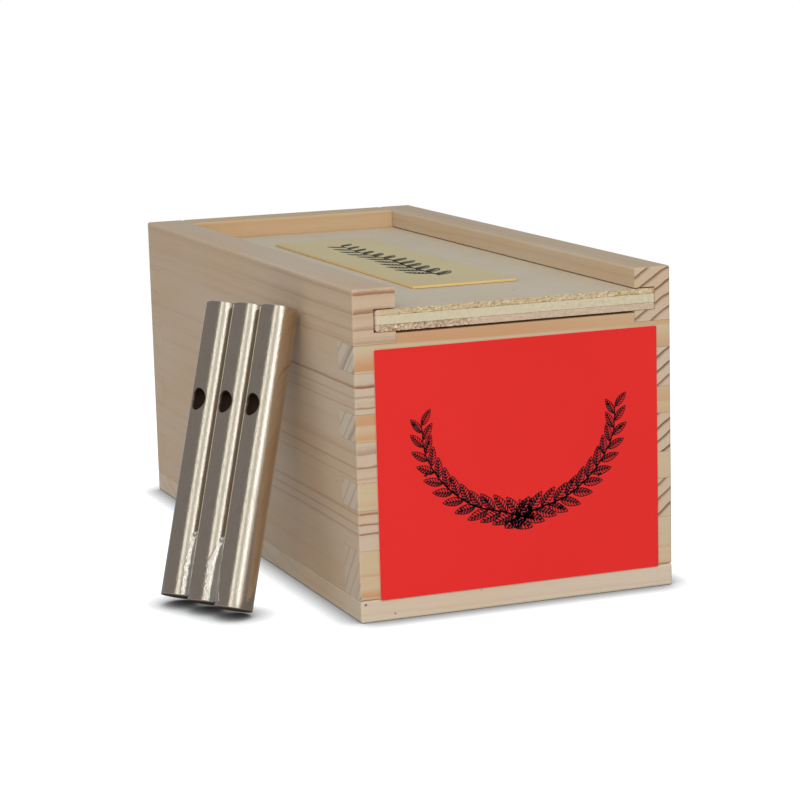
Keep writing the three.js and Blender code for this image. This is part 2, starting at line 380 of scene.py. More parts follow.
@dataclass(frozen=True)
class SolidWood:
    """Softwood with growth rings that run through the whole board.

    The pith is the ring centre in the board's cross-section, in millimetres: (Y, Z) for grain
    along X, (X, Z) for grain along Y and (X, Y) for grain along Z. The drift tilts the rings
    along the grain, and wander is how far they stray. The heights of the lines are those on the
    face that lies at shown_at on the first section axis. From faint's first place along the
    grain to its second, the lines lose its third number, a share of their strength. On the end
    grain they keep only the share end_width of their width.
    """

    name: str
    grain: Axis
    pith: tuple[float, float]
    ring: float = 3.0
    face: Cut = Cut()
    end: Cut = Cut(contrast=0.5)
    line_start: float = 0.55
    least: float = 0.35
    wander: float = 0.8
    drift: float = 0.0
    shown_at: float = 0.0
    lines: tuple[LateWood, ...] = ()
    faint: tuple[float, float, float] = (0.0, 1.0, 0.0)
    end_width: float = 1.0
    marks: tuple[Mark, ...] = ()
    warm: Colour = (1.0, 0.93, 0.85)
    dark: Colour = (0.84, 0.79, 0.74)
    roughness: float = 0.52
    relief: float = 0.06

    def build(self) -> bpy.types.Material:
        """Builds the material.

        Returns:
            The finished material.
        """
        tree = MaterialTree(self.name)
        place = tree.place()
        axes = list(tree.split(place))
        along = axes.pop(self.grain.value)
        across, up = axes
        seed = sum(ord(letter) for letter in self.name) * 0.37
        end = tree.step(tree.math("ABSOLUTE", tree.facing()[self.grain.value]), 0.6, 0.9)
        late = self.late_wood(tree, along, across, up, end, seed)
        fibre = tree.cloud(tree.combine(along * 0.08, across * 3.0, up * 3.0), 1.0, 3.0, 0.6)
        pores = tree.cloud(place, 4.0, 2.0, 0.6)
        patch = tree.cloud(tree.combine(along * 0.02, across * 0.08 + seed, up * 0.08), 1.0)
        colour = tree.mix(end, self.face.early, self.end.early)
        colour = tree.mix(tree.step(patch, 0.35, 0.7), colour, self.warm, "MULTIPLY")
        colour = tree.mix(tree.step(fibre, 0.45, 0.8) * 0.3, colour, self.dark, "MULTIPLY")
        pitted = end * tree.step(pores, 0.5, 0.75) * 0.25
        colour = tree.mix(pitted, colour, self.dark, "MULTIPLY")
        colour = tree.mix(late, colour, tree.mix(end, self.face.late, self.end.late))
        for spot in self.marks:
            colour = tree.mark(place, colour, spot)
        height = fibre * 0.5 + late * 0.5 + end * pores * 0.4
        return tree.surface(Base_Color=colour, Roughness=self.roughness + fibre * 0.2 + end * 0.1,
                            Specular_IOR_Level=0.3, Normal=tree.bump(height, self.relief))

    def late_wood(
        self, tree: MaterialTree, along: Wire, across: Wire, up: Wire, end: Wire, seed: float,
    ) -> Wire:
        """How much of the late wood's colour shows, from the rings and the lines.

        Args:
            tree: The material's tree.
            along: The place along the grain.
            across: The place on the first section axis.
            up: The place on the second.
            end: 1 on the end grain and 0 on the long faces.
            seed: The board's own offset for its noise.

        Returns:
            The share of the late colour, from 0 to 1.
        """
        slow = tree.combine(along * 0.012 + seed, across * 0.04, up * 0.04)
        quick = tree.combine(along * 0.03 + seed, across * 0.25, up * 0.25)
        reach = ((across - self.pith[0]) ** 2.0 + (up - self.pith[1]) ** 2.0) ** 0.5
        reach = reach + along * self.drift
        reach = reach + (tree.cloud(slow, 1.0) - 0.5) * (3 * self.wander)
        reach = reach + (tree.cloud(quick, 1.0) - 0.5) * self.wander
        contrast = self.face.contrast + end * (self.end.contrast - self.face.contrast)
        late = self.rings(tree, reach, seed) * contrast
        swell = tree.cloud(tree.combine(along * 0.1 + seed, across * 0.5, up * 0.12), 1.0, 1.0)
        narrow = 1 - end * (1 - self.end_width)
        faint_from, faint_to, lost = self.faint
        kept = (1 - tree.step(along, faint_from, faint_to) * lost) * (0.6 + narrow * 0.4)
        for line in self.lines:
            drawn = self.line_mask(tree, line, reach, (swell + 0.55) * narrow, end)
            late = tree.math("MAXIMUM", late, drawn * kept)
        return late

    def line_mask(
        self, tree: MaterialTree, line: LateWood, reach: Wire, widen: Wire, end: Wire,
    ) -> Wire:
        """Draws one line of late wood.

        Args:
            tree: The material's tree.
            line: The line.
            reach: The distance from the pith.
            widen: A factor on the line's width.
            end: 1 on the end grain and 0 on the long faces.

        Returns:
            How strongly the line shows, from 0 to its own strength.
        """
        radius = math.hypot(self.shown_at - self.pith[0], line.at - self.pith[1])
        rise = tree.step(reach, radius - 0.12 - 0.05 * line.width, radius + 0.06)
        fall = 1 - tree.step(reach, radius + 0.1, widen * line.width + (radius + 0.1))
        return rise * fall * (line.on_face + end * (1 - line.on_face)) * line.strength

    def rings(self, tree: MaterialTree, reach: Wire, seed: float) -> Wire:
        """Draws the evenly spaced growth rings.

        Args:
            tree: The material's tree.
            reach: The distance from the pith.
            seed: The board's own offset for its noise.

        Returns:
            How dark the ring is, from 0 to 1.
        """
        count = reach / self.ring
        turn = tree.math("FRACT", count)
        number = tree.math("FLOOR", count) + seed
        weight = tree.node("ShaderNodeTexWhiteNoise", {"noise_dimensions": "1D"}, {"W": number},
                           "Value")
        late = tree.step(turn, self.line_start, 0.93) ** 1.8 * (1 - tree.step(turn, 0.94, 1.0))
        return late * (self.least + weight * (1 - self.least))


@dataclass(frozen=True)
class SawnVeneer:
    """One ply of the lid: a smooth face and an edge that the saw left torn.

    Crumbs and pits say how strongly these show on the edge, which is torn most from torn_from
    to torn_to along X. Towards -X the edge turns to the left_end_tone colour at left_end_from.
    """

    name: str
    face: Colour
    edge: Colour
    crumb: Colour
    pit: Colour
    crumbs: float
    pits: float
    torn_from: float
    torn_to: float
    marks: tuple[Mark, ...] = ()
    left_end_tone: Colour = (0.76, 0.585, 0.455)
    left_end_from: float = -28.6
    left_end_over: float = 1.0
    relief: float = 0.09

    def build(self) -> bpy.types.Material:
        """Builds the material.

        Returns:
            The finished material.
        """
        tree = MaterialTree(self.name)
        place = tree.place()
        x, y, z = tree.split(place)
        grain = tree.cloud(tree.combine(x * 0.9, y * 0.03, z * 0.2), 1.0, 3.0, 0.55)
        streak = tree.cloud(tree.combine(x * 1.3, y, z * 0.9), 1.0, 3.0, 0.6)
        blotch = tree.cloud(place, 0.06, 2.0)
        soft = tuple(v * k for v, k in zip(self.face, (0.88, 0.87, 0.84)))
        shade = tuple(v * k for v, k in zip(self.edge, (0.82, 0.76, 0.68)))
        face = tree.mix(tree.step(grain, 0.42, 0.75) * 0.3, self.face, soft)
        face = tree.mix(tree.step(blotch, 0.4, 0.75) * 0.35, face, soft)
        for spot in self.marks:
            face = tree.mark(place, face, spot)
        torn = tree.step(x, self.torn_from - 6, self.torn_from + 2)
        torn = torn * (1 - tree.step(x, self.torn_to - 3, self.torn_to + 8))
        ragged = tree.cloud(tree.combine(x * 1.7, y, z * 1.6), 1.0, 3.0, 0.7)
        flakes = tree.combine(x * 1.3 + ragged * 1.5, y * 0.8, z * 2.4 + ragged)
        lump, other, _ = tree.split(tree.cells(flakes, 1.0))
        edge = tree.mix(tree.step(streak, 0.42, 0.72) * 0.45, self.edge, shade)
        crumbs = tree.step(lump * ragged, 0.34, 0.5) * (0.3 + torn * 0.7) * self.crumbs
        pits = tree.step(other * ragged, 0.36, 0.5) * (0.12 + torn * 0.88) * self.pits
        edge = tree.mix(pits, edge, self.pit)
        edge = tree.mix(crumbs, edge, self.crumb)
        # The edge turns lighter and pinker towards the lid's -X end.
        left_end_tone = tree.step(x * -1.0, -self.left_end_from, self.left_end_over - self.left_end_from)
        edge = tree.mix(left_end_tone * 0.8, edge, self.left_end_tone)
        front = tree.step(tree.facing()[1] * -1.0, 0.35, 0.7)
        height = front * (ragged * 0.6 + crumbs * 0.5 - pits * 0.5) + grain * 0.15
        return tree.surface(Base_Color=tree.mix(front, face, edge),
                            Roughness=0.56 + grain * 0.15 + front * 0.15,
                            Specular_IOR_Level=0.3, Normal=tree.bump(height, self.relief))


@dataclass(frozen=True)
class PrintedCard:
    """Card with a coloured face and a lighter cut edge."""

    name: str
    face: Colour
    edge: Colour
    normal: Axis
    roughness: float = 0.42
    relief: float = 0.012

    def build(self) -> bpy.types.Material:
        """Builds the material.

        Returns:
            The finished material.
        """
        tree = MaterialTree(self.name)
        place = tree.place()
        fibre = tree.cloud(place, 3.0, 4.0, 0.65)
        fade = tree.cloud(place, 0.03, 2.0)
        deep = tuple(v * k for v, k in zip(self.face, (0.94, 0.88, 0.88)))
        colour = tree.mix(tree.step(fade, 0.35, 0.7) * 0.5, self.face, deep)
        colour = tree.mix(tree.step(fibre, 0.5, 0.85) * 0.2, colour, deep)
        flat = tree.math("ABSOLUTE", tree.facing()[self.normal.value])
        colour = tree.mix(1 - tree.step(flat, 0.45, 0.8), colour, self.edge)
        return tree.surface(Base_Color=colour, Roughness=self.roughness + fibre * 0.12,
                            Specular_IOR_Level=0.35, Normal=tree.bump(fibre, self.relief))


@dataclass(frozen=True)
class PrintedInk:
    """A flat layer of dark ink, and the card that shows through where it is thin."""

    name: str
    ink: Colour
    card: Colour
    thin: float = 0.5

    def build(self) -> bpy.types.Material:
        """Builds the material.

        Returns:
            The finished material.
        """
        tree = MaterialTree(self.name)
        grit = tree.cloud(tree.place(), 1.9, 4.0, 0.75)
        wear = tree.step(grit, 0.57, 0.72) * self.thin
        return tree.surface(Base_Color=tree.mix(wear, self.ink, self.card),
                            Roughness=0.5 + grit * 0.1, Specular_IOR_Level=0.3)


@dataclass(frozen=True)
class BrightMetal:
    """Bright metal with lines drawn along the tube and a slightly uneven polish.

    The relief is a mixture of dents, whose fineness is lump, and drawn lines, whose share is
    line, and fleck adds fine grit. Where bore is set, the metal within that radius of the tube's
    axis is dark and aged, the foot's rim takes the same dark colour as painted shade, and the
    outside has a painted reflection of brown wood on the side towards +X.
    """

    name: str
    tint: Colour
    dull: Colour
    roughness: float
    relief: float
    lump: float
    line: float = 0.5
    metallic: float = 1.0
    bore: float = 0.0
    fleck: float = 0.0
    # The colour of the painted reflection of the brown wood wall on the tube's side towards +X.
    painted_wood_reflection: Colour = (0.50, 0.34, 0.22)
    # The dark colour of the aged bore, also used as painted shade on the foot's rim.
    age: Colour = (0.11, 0.07, 0.05)

    def build(self) -> bpy.types.Material:
        """Builds the material.

        Returns:
            The finished material.
        """
        tree = MaterialTree(self.name)
        place = tree.own("local")
        x, y, z = tree.split(place)
        lines = tree.cloud(tree.combine(x * 5.0, y * 5.0, z * 0.5), 1.0, 4.0, 0.65)
        dents = tree.cloud(tree.combine(x * 1.2, y * 1.2, z * 0.7), self.lump, 3.0, 0.6)
        haze = tree.cloud(place, 0.25, 3.0, 0.6)
        stain = tree.step(haze, 0.5, 0.8)
        grit = tree.cloud(tree.combine(x * 4.0, y * 4.0, z * 1.3), 1.0, 2.0, 0.7)
        flecks = tree.step(grit, 0.5, 0.66) * (self.fleck * 0.4)
        colour = tree.mix(stain * 0.35, self.tint, self.dull)
        colour = tree.mix(flecks, colour, self.dull)
        rough = self.roughness * (0.8 + lines * 0.4 + stain * 0.5)
        metal: Wire | float = self.metallic
        if self.bore:
            radius = (x * x + y * y) ** 0.5
            inside = 1 - tree.step(radius, self.bore - 0.05, self.bore + 0.05)
            # Painted reflection: a brown tint on the side towards +X, standing in for the wood wall
            # that the tube mirrors.
            painted_wood_reflection = tree.step(x, self.bore * 0.82, self.bore) * 0.6
            colour = tree.mix(painted_wood_reflection, colour, self.painted_wood_reflection)
            # Painted shade: within 0.3 mm of the tube's lower end the rim takes the dark aged colour,
            # where the contact shade under the feet falls.
            inside = tree.math("MAXIMUM", inside, 1 - tree.step(z, 0.08, 0.3))
            colour = tree.mix(inside, colour, self.age)
            rough = rough + inside * 0.6
            metal = 1 - inside * 0.9
        height = lines * self.line + dents * (1 - self.line) + grit * self.fleck
        return tree.surface(Base_Color=colour, Metallic=metal, Roughness=rough,
                            Normal=tree.bump(height, self.relief))


@dataclass(frozen=True)
class DarkPlug:
    """The waxed dark wood of the plugs in the tubes' mouths."""

    name: str = "waxed_plug_wood"
    wood: Colour = (0.13, 0.07, 0.035)
    deep: Colour = (0.05, 0.024, 0.013)
    relief: float = 0.05

    def build(self) -> bpy.types.Material:
        """Builds the material.

        Returns:
            The finished material.
        """
        tree = MaterialTree(self.name)
        x, y, z = tree.split(tree.own("local"))
        grain = tree.cloud(tree.combine(x * 2.2, y * 2.2, z * 0.15), 1.0, 3.0, 0.6)
        colour = tree.mix(tree.step(grain, 0.35, 0.7), self.wood, self.deep)
        return tree.surface(Base_Color=colour, Roughness=0.45 + grain * 0.2,
                            Normal=tree.bump(grain, self.relief))


class Draft:
    """A mesh under construction, in millimetres."""

    def __init__(self) -> None:
        """Starts an empty mesh."""
        self.mesh = bmesh.new()

    def ring(self, points: Sequence[Vector]) -> list[bmesh.types.BMVert]:
        """Adds one row of points."""
        return [self.mesh.verts.new(point) for point in points]

    def bridge(
        self,
        first: Sequence[bmesh.types.BMVert],
        second: Sequence[bmesh.types.BMVert],
        closed: bool = True,
    ) -> None:
        """Joins two rows of the same length with quads.

        Args:
            first: One row of points.
            second: The next row.
            closed: Whether the last point joins the first again.
        """
        count = len(first)
        for i in range(count if closed else count - 1):
            j = (i + 1) % count
            self.mesh.faces.new((first[i], first[j], second[j], second[i]))

    def cap(self, row: Sequence[bmesh.types.BMVert]) -> None:
        """Closes a row with one face."""
        self.mesh.faces.new(row)

    def finish(self, name: str, place: Matrix | None = None) -> bpy.types.Object:
        """Turns the draft into an object at the origin, in metres.

        Args:
            name: The piece's name.
            place: Where the mesh stands in the frame, in millimetres.

        Returns:
            The new object, whose points keep their own coordinates in the attribute "local".
        """
        bmesh.ops.remove_doubles(self.mesh, verts=self.mesh.verts[:], dist=1e-5)
        bmesh.ops.recalc_face_normals(self.mesh, faces=self.mesh.faces[:])
        data = bpy.data.meshes.new(name)
        self.mesh.to_mesh(data)
        self.mesh.free()
        local = data.attributes.new("local", "FLOAT_VECTOR", "POINT")
        for vertex, item in zip(data.vertices, local.data):
            item.vector = vertex.co
        data.transform(Matrix.Scale(MM, 4) @ (place or Matrix.Identity(4)))
        piece = bpy.data.objects.new(name, data)
        bpy.context.scene.collection.objects.link(piece)
        return piece


def corners(node: str) -> tuple[Vector, Vector]:
    """A node's lowest and highest corner, in millimetres."""
    low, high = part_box(node)
    return Vector(low) / MM, Vector(high) / MM


def polyline(name: str, points: Sequence[Vector]) -> bpy.types.Object:
    """Makes an object of bare edges along a line.

    Args:
        name: The object's name.
        points: The line's points, in metres.

    Returns:
        The new object.
    """
    data = bpy.data.meshes.new(name)
    data.from_pydata(points, [(i, i + 1) for i in range(len(points) - 1)], [])
    piece = bpy.data.objects.new(name, data)
    bpy.context.scene.collection.objects.link(piece)
    return piece


def join(name: str, pieces: Sequence[bpy.types.Object]) -> bpy.types.Object:
    """Makes one mesh object of several, and removes them.

    Args:
        name: The new object's name.
        pieces: The objects to join.

    Returns:
        The new object.
    """
    mesh = bmesh.new()
    for piece in pieces:
        mesh.from_mesh(piece.data)
        bpy.data.objects.remove(piece)
    data = bpy.data.meshes.new(name)
    mesh.to_mesh(data)
    mesh.free()
    whole = bpy.data.objects.new(name, data)
    bpy.context.scene.collection.objects.link(whole)
    return whole


def shade_smooth(piece: bpy.types.Object, angle: float | None = None) -> None:
    """Shades a piece smoothly.

    Args:
        piece: The piece.
        angle: Edges sharper than this, in degrees, stay sharp. None smooths them all.
    """
    for polygon in piece.data.polygons:
        polygon.use_smooth = True
    if angle is not None:
        piece.data.set_sharp_from_angle(angle=math.radians(angle))


def add_bevel(piece: bpy.types.Object, width: float, segments: int = 2) -> bpy.types.Modifier:
    """Adds a bevel on every edge over 30 degrees.

    Args:
        piece: The piece.
        width: The bevel's width, in millimetres.
        segments: How many steps it has.

    Returns:
        The modifier.
    """
    bevel = piece.modifiers.new("eased_edges", "BEVEL")
    bevel.width = width * MM
    bevel.segments = segments
    bevel.limit_method = "ANGLE"
    bevel.angle_limit = math.radians(30)
    bevel.harden_normals = True
    return bevel


def hand_over(
    piece: bpy.types.Object,
    body: str,
    slot: str,
    material: bpy.types.Material | None,
    *nodes: str,
) -> None:
    """Gives a finished piece its material, its body and the nodes that it stands for.

    Args:
        piece: The finished piece.
        body: The body that it rides on.
        slot: The record's material slot. It is not used.
        material: Its material, or None where the mesh has one already.
        *nodes: The nodes that it replaces.
    """
    if material is not None:
        piece.data.materials.clear()
        piece.data.materials.append(material)
    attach(piece, body)
    if nodes:
        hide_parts(*nodes)
    LOG.info("%s rides on %s for %s", piece.name, body, ", ".join(nodes) or "looks")


@dataclass(frozen=True)
class Board:
    """One board of the box: the node that it replaces, its slot and its wood."""

    node: str
    slot: str
    wood: SolidWood


@dataclass
class PineBox:
    """The finger-jointed box: four walls and a base, from the frame's own boards.

    Width, depth and height are the box's own, and a point within near of one of its outer
    planes counts as on it.
    """

    outer_ease: float = 0.45
    ease_steps: int = 3
    width: float = 69.0
    depth: float = 144.0
    height: float = 66.8
    near: float = 0.02
    weld: float = 0.002
    boards: tuple[Board, ...] = (
        Board("base_board", "pine_base", SolidWood(
            "pine_base_board", Axis.X, pith=(-60.0, 260.0), ring=3.6,
            face=Cut((0.70, 0.59, 0.45), (0.46, 0.27, 0.16), 0.22),
            end=Cut((0.66, 0.54, 0.40), (0.46, 0.27, 0.16), 0.3), marks=(
                Mark((-33.5, -72.0, 3.75), 0.34, (0.10, 0.035, 0.03), 0.9),
                Mark((-27.3, -72.0, 1.3), 0.26, (0.20, 0.12, 0.07), 0.8),
                Mark((-25.6, -72.0, 4.35), 0.22, (0.25, 0.05, 0.03), 0.8),
                Mark((-8.6, -72.0, 3.9), 0.2, (0.25, 0.08, 0.05), 0.6)))),
        Board("left_wall", "pine_side", SolidWood(
            "pine_left_wall", Axis.Y, pith=(-30.0, -420.0), ring=4.3, face=Cut(contrast=0.1),
            end=Cut((0.65, 0.515, 0.38), (0.32, 0.14, 0.065), 0.18), wander=0.45,
            shown_at=-30.0, faint=(-45.0, 20.0, 0.8), lines=(
                LateWood(65.5, 1.0, 0.85, 0.35), LateWood(61.8, 1.3, 0.8, 0.35),
                LateWood(58.5, 1.0, 0.5, 0.4), LateWood(55.9, 0.9, 0.4, 0.5),
                LateWood(47.2, 0.8, 1.0, 0.6), LateWood(45.1, 0.5, 0.5, 0.5),
                LateWood(42.9, 0.4, 0.7, 0.45), LateWood(33.9, 1.8, 0.5, 0.4),
                LateWood(31.2, 0.5, 0.8, 0.45), LateWood(29.0, 0.4, 0.35, 0.7),
                LateWood(22.0, 0.6, 0.85, 0.4), LateWood(19.9, 0.5, 0.85, 0.4),
                LateWood(18.0, 0.5, 0.9, 0.4)))),
        Board("right_wall", "pine_side", SolidWood(
            "pine_right_wall", Axis.Y, pith=(145.0, -124.0), ring=2.4,
            face=Cut((0.60, 0.465, 0.315), (0.34, 0.14, 0.07), 0.14),
            end=Cut((0.66, 0.53, 0.385), (0.19, 0.08, 0.045), 1.0), line_start=0.5,
            least=0.8, wander=0.7)),
        Board("front_wall", "pine_end", SolidWood(
            "pine_front_wall", Axis.X, pith=(-207.0, -104.0), ring=2.7,
            face=Cut((0.65, 0.525, 0.345), (0.62, 0.315, 0.145), 0.1),
            end=Cut((0.64, 0.515, 0.385), (0.26, 0.185, 0.13), 0.5), line_start=0.6,
            least=0.6, wander=0.35, drift=0.012, shown_at=-72.0, end_width=0.28,
            faint=(-5.0, 30.0, 0.4), lines=(
                LateWood(55.3, 5.2, 0.85), LateWood(50.3, 3.6, 0.95), LateWood(39.6, 4.5, 0.8),
                LateWood(36.5, 1.5, 0.7), LateWood(27.9, 0.5, 0.3), LateWood(23.0, 0.8, 0.3),
                LateWood(8.9, 0.5, 0.45), LateWood(4.6, 1.2, 0.9)))),
        Board("rear_wall", "pine_end", SolidWood(
            "pine_rear_wall", Axis.X, pith=(207.0, -104.0), ring=2.9,
            face=Cut((0.64, 0.455, 0.27), contrast=0.2), end=Cut(contrast=0.1), wander=0.5)),
    )

    def build(self) -> None:
        """Builds and hands over every board."""
        for board in self.boards:
            piece = self.eased_board(board.node)
            hand_over(piece, "box", board.slot, board.wood.build(), board.node)

    def eased_board(self, node: str) -> bpy.types.Object:
        """Makes a board from its node's shape, with worn outer arrises and tight joints.

        Args:
            node: The node that the board replaces.

        Returns:
            The board's object.
        """
        mesh = bmesh.new()
        mesh.from_mesh(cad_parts[node].data)
        bmesh.ops.remove_doubles(mesh, verts=mesh.verts[:], dist=self.weld * MM)
        bmesh.ops.dissolve_limit(mesh, angle_limit=math.radians(1), verts=mesh.verts[:],
                                 edges=mesh.edges[:])
        weight = mesh.edges.layers.float.new("bevel_weight_edge")
        for edge in mesh.edges:
            edge[weight] = 1.0 if self.on_arris(edge) else 0.0
        data = bpy.data.meshes.new(f"{node}_eased")
        mesh.to_mesh(data)
        mesh.free()
        data.shade_flat()
        piece = bpy.data.objects.new(f"{node}_eased", data)
        bpy.context.scene.collection.objects.link(piece)
        bevel = add_bevel(piece, self.outer_ease, self.ease_steps)
        bevel.limit_method = "WEIGHT"
        bevel.harden_normals = False
        return piece

    def on_arris(self, edge: bmesh.types.BMEdge) -> bool:
        """Tells whether an edge gets a worn arris.

        Args:
            edge: The edge.

        Returns:
            True along an outer arris of the box and round a wall's top.
        """
        first, second = (self.planes(vertex.co / MM) for vertex in edge.verts)
        shared = first & second
        return len(shared) >= 2 or "top" in shared

    def planes(self, point: Vector) -> set[str]:
        """Finds the box's outer planes that a point lies on.

        Args:
            point: The point, in millimetres.

        Returns:
            The planes' names.
        """
        gaps = {
            "side": abs(point.x) - self.width / 2,
            "end": abs(point.y) - self.depth / 2,
            "top": point.z - self.height,
            "bottom": point.z,
        }
        return {name for name, gap in gaps.items() if abs(gap) < self.near}


@dataclass(frozen=True)
class Ply:
    """One ply of the lid, which replaces a node.

    The saw tore its front edge as deep as depth, in fibres of the width grain, in millimetres.
    Its finish says where the edge is torn most.
    """

    node: str
    slot: str
    depth: float
    grain: float
    finish: SawnVeneer


@dataclass(frozen=True)
class CrumbRow:
    """Saw crumbs on a ply's front edge: how many to a square millimetre, and their size."""

    name: str
    node: str
    density: float
    size: float
    colour: Colour


@dataclass
class PlywoodLid:
    """The sliding lid: three plies with a torn front edge, and saw crumbs along it.

    The rounds are the radii of the edge's two corners, and round_drop is the share of them that
    the outer plies' faces draw in as well. The plies are right_swell wider than their solids,
    which closes the gap there. The edge starts at clear behind the solids' front, blunt is how
    readily it tears, and behind back the plies are plain. The crumbs lie crumb_sink behind the
    front, crumb_band below their ply's top.
    """

    section: float = 0.22
    face_rows: int = 7
    left_round: float = 0.9
    right_round: float = 0.1
    round_drop: float = 0.7
    right_swell: float = 0.09
    clear: float = 0.02
    least_torn: float = 0.25
    blunt: float = 0.22
    tear_height: float = 0.45
    chip_width: float = 0.8
    chip_sink: float = 0.04
    back: float = 1.2
    plies: tuple[Ply, ...] = (
        Ply("lid_face_ply", "face_veneer", depth=0.35, grain=0.5, finish=SawnVeneer(
            "ply_face_veneer", face=(0.67, 0.54, 0.375), edge=(0.68, 0.53, 0.32),
            crumb=(0.86, 0.76, 0.50), pit=(0.50, 0.29, 0.13), crumbs=0.8, pits=0.5,
            torn_from=-22.0, torn_to=40.0, marks=(
                Mark((-3.4, -61.0, 62.5), 2.4, (0.68, 0.55, 0.2), 0.55),
                Mark((-0.6, -61.2, 62.5), 2.0, (0.68, 0.55, 0.2), 0.5),
                Mark((4.8, -60.2, 62.5), 0.4, (0.25, 0.17, 0.1), 0.8)))),
        Ply("lid_core_ply", "core_veneer", depth=0.1, grain=1.4, finish=SawnVeneer(
            "ply_core_veneer", face=(0.70, 0.61, 0.43), edge=(0.72, 0.63, 0.44),
            crumb=(0.80, 0.73, 0.56), pit=(0.50, 0.34, 0.20), crumbs=0.45, pits=0.3,
            torn_from=6.0, torn_to=24.0)),
        Ply("lid_under_ply", "under_veneer", depth=0.5, grain=0.5, finish=SawnVeneer(
            "ply_under_veneer", face=(0.56, 0.42, 0.28), edge=(0.66, 0.50, 0.365),
            crumb=(0.92, 0.77, 0.50), pit=(0.36, 0.17, 0.07), crumbs=0.9, pits=0.75,
            torn_from=-26.0, torn_to=-13.0)),
    )
    crumb_rows: tuple[CrumbRow, ...] = (
        CrumbRow("saw_crumbs_upper", "lid_face_ply", 3.5, 0.34, (0.80, 0.68, 0.42)),
        CrumbRow("saw_crumbs_lower", "lid_under_ply", 2.2, 0.4, (0.72, 0.55, 0.36)),
    )
    crumb_seed: int = 11
    crumb_sink: float = 0.16
    crumb_margin: float = 1.2
    crumb_band: tuple[float, float] = (0.45, 0.06)
    crumb_least: tuple[float, float, float] = (0.3, 0.15, 0.15)
    crumb_most: tuple[float, float, float] = (1.3, 0.6, 0.5)
    crumb_spin: tuple[float, float, float] = (0.5, 0.7, 0.9)

    def build(self) -> None:
        """Builds and hands over the plies and the crumbs."""
        for ply in self.plies:
            hand_over(self.sawn(ply), "lid", ply.slot, ply.finish.build(), ply.node)
        for number, row in enumerate(self.crumb_rows):
            finish = SawnVeneer(f"{row.name}_wood", face=row.colour, edge=row.colour,
                                crumb=(0.88, 0.80, 0.60), pit=(0.35, 0.18, 0.08), crumbs=0.6,
                                pits=0.3, torn_from=-40.0, torn_to=40.0)
            piece = self.scatter(row, self.crumb_seed + number, finish.build())
            hand_over(piece, "lid", "face_veneer", None)

    def sawn(self, ply: Ply) -> bpy.types.Object:
        """Makes one ply from cross-sections along the lid's width.

        Args:
            ply: The ply.

        Returns:
            The ply's object.
        """
        low, high = corners(ply.node)
        high.x += self.right_swell
        count = round((high.x - low.x) / self.section)
        draft = Draft()
        rows = []
        for i in range(count + 1):
            x = low.x + (high.x - low.x) * i / count
            points = self.outline(x, low, high, ply)
            inset = max(self.end_inset(x - low.x, self.left_round),
                        self.end_inset(high.x - x, self.right_round))
            for point in points:
                point.y += inset * max(0.0, 1 - (point.y - low.y))
                if ply.node == "lid_face_ply":
                    point.z -= inset * self.round_drop * (point.z > (low.z + high.z) / 2)
                if ply.node == "lid_under_ply":
                    point.z += inset * self.round_drop * (point.z < (low.z + high.z) / 2)
            rows.append(draft.ring(points))
        for first, second in zip(rows, rows[1:]):
            draft.bridge(first, second)
        draft.cap(rows[0][::-1])
        draft.cap(rows[-1])
        piece = draft.finish(f"{ply.node}_sawn")
        shade_smooth(piece, 35)
        return piece

    @staticmethod
    def end_inset(distance: float, radius: float) -> float:
        """How far a rounded corner of the lid has drawn back, at a distance from its end."""
        inner = max(0.0, radius - distance)
        return radius - math.sqrt(radius ** 2 - inner ** 2)

    def outline(self, x: float, low: Vector, high: Vector, ply: Ply) -> list[Vector]:
        """Makes one cross-section of a ply.

        Args:
            x: The section's place along the lid's width.
            low: The ply's lowest corner.
            high: The ply's highest corner.
            ply: The ply.

        Returns:
            The section's points, from the torn front face round the back.
        """
        most_torn = ply.finish.torn_from - 3 < x < ply.finish.torn_to + 3
        torn = 1.0 if most_torn else self.least_torn
        points = []
        for j in range(self.face_rows + 1):
            t = j / self.face_rows
            z = low.z + (high.z - low.z) * t
            place = Vector((x / ply.grain, z / self.tear_height, low.z))
            rough = noise.fractal(place, 0.6, 2.0, 3)
            inward = ply.depth * torn * max(0.0, self.blunt + rough)
            points.append(Vector((x, low.y + self.clear + inward, z)))
        chip = noise.fractal(Vector((x / self.chip_width, 3.1, low.z)), 0.6, 2.0, 2)
        sink = self.chip_sink * ply.depth * torn * max(0.0, chip)
        points[0].z += sink
        points[-1].z -= sink
        reach = high.y - low.y
        for z, backs in ((high.z, (self.back, reach)), (low.z, (reach, self.back))):
            points += [Vector((x, low.y + back, z)) for back in backs]
        return points

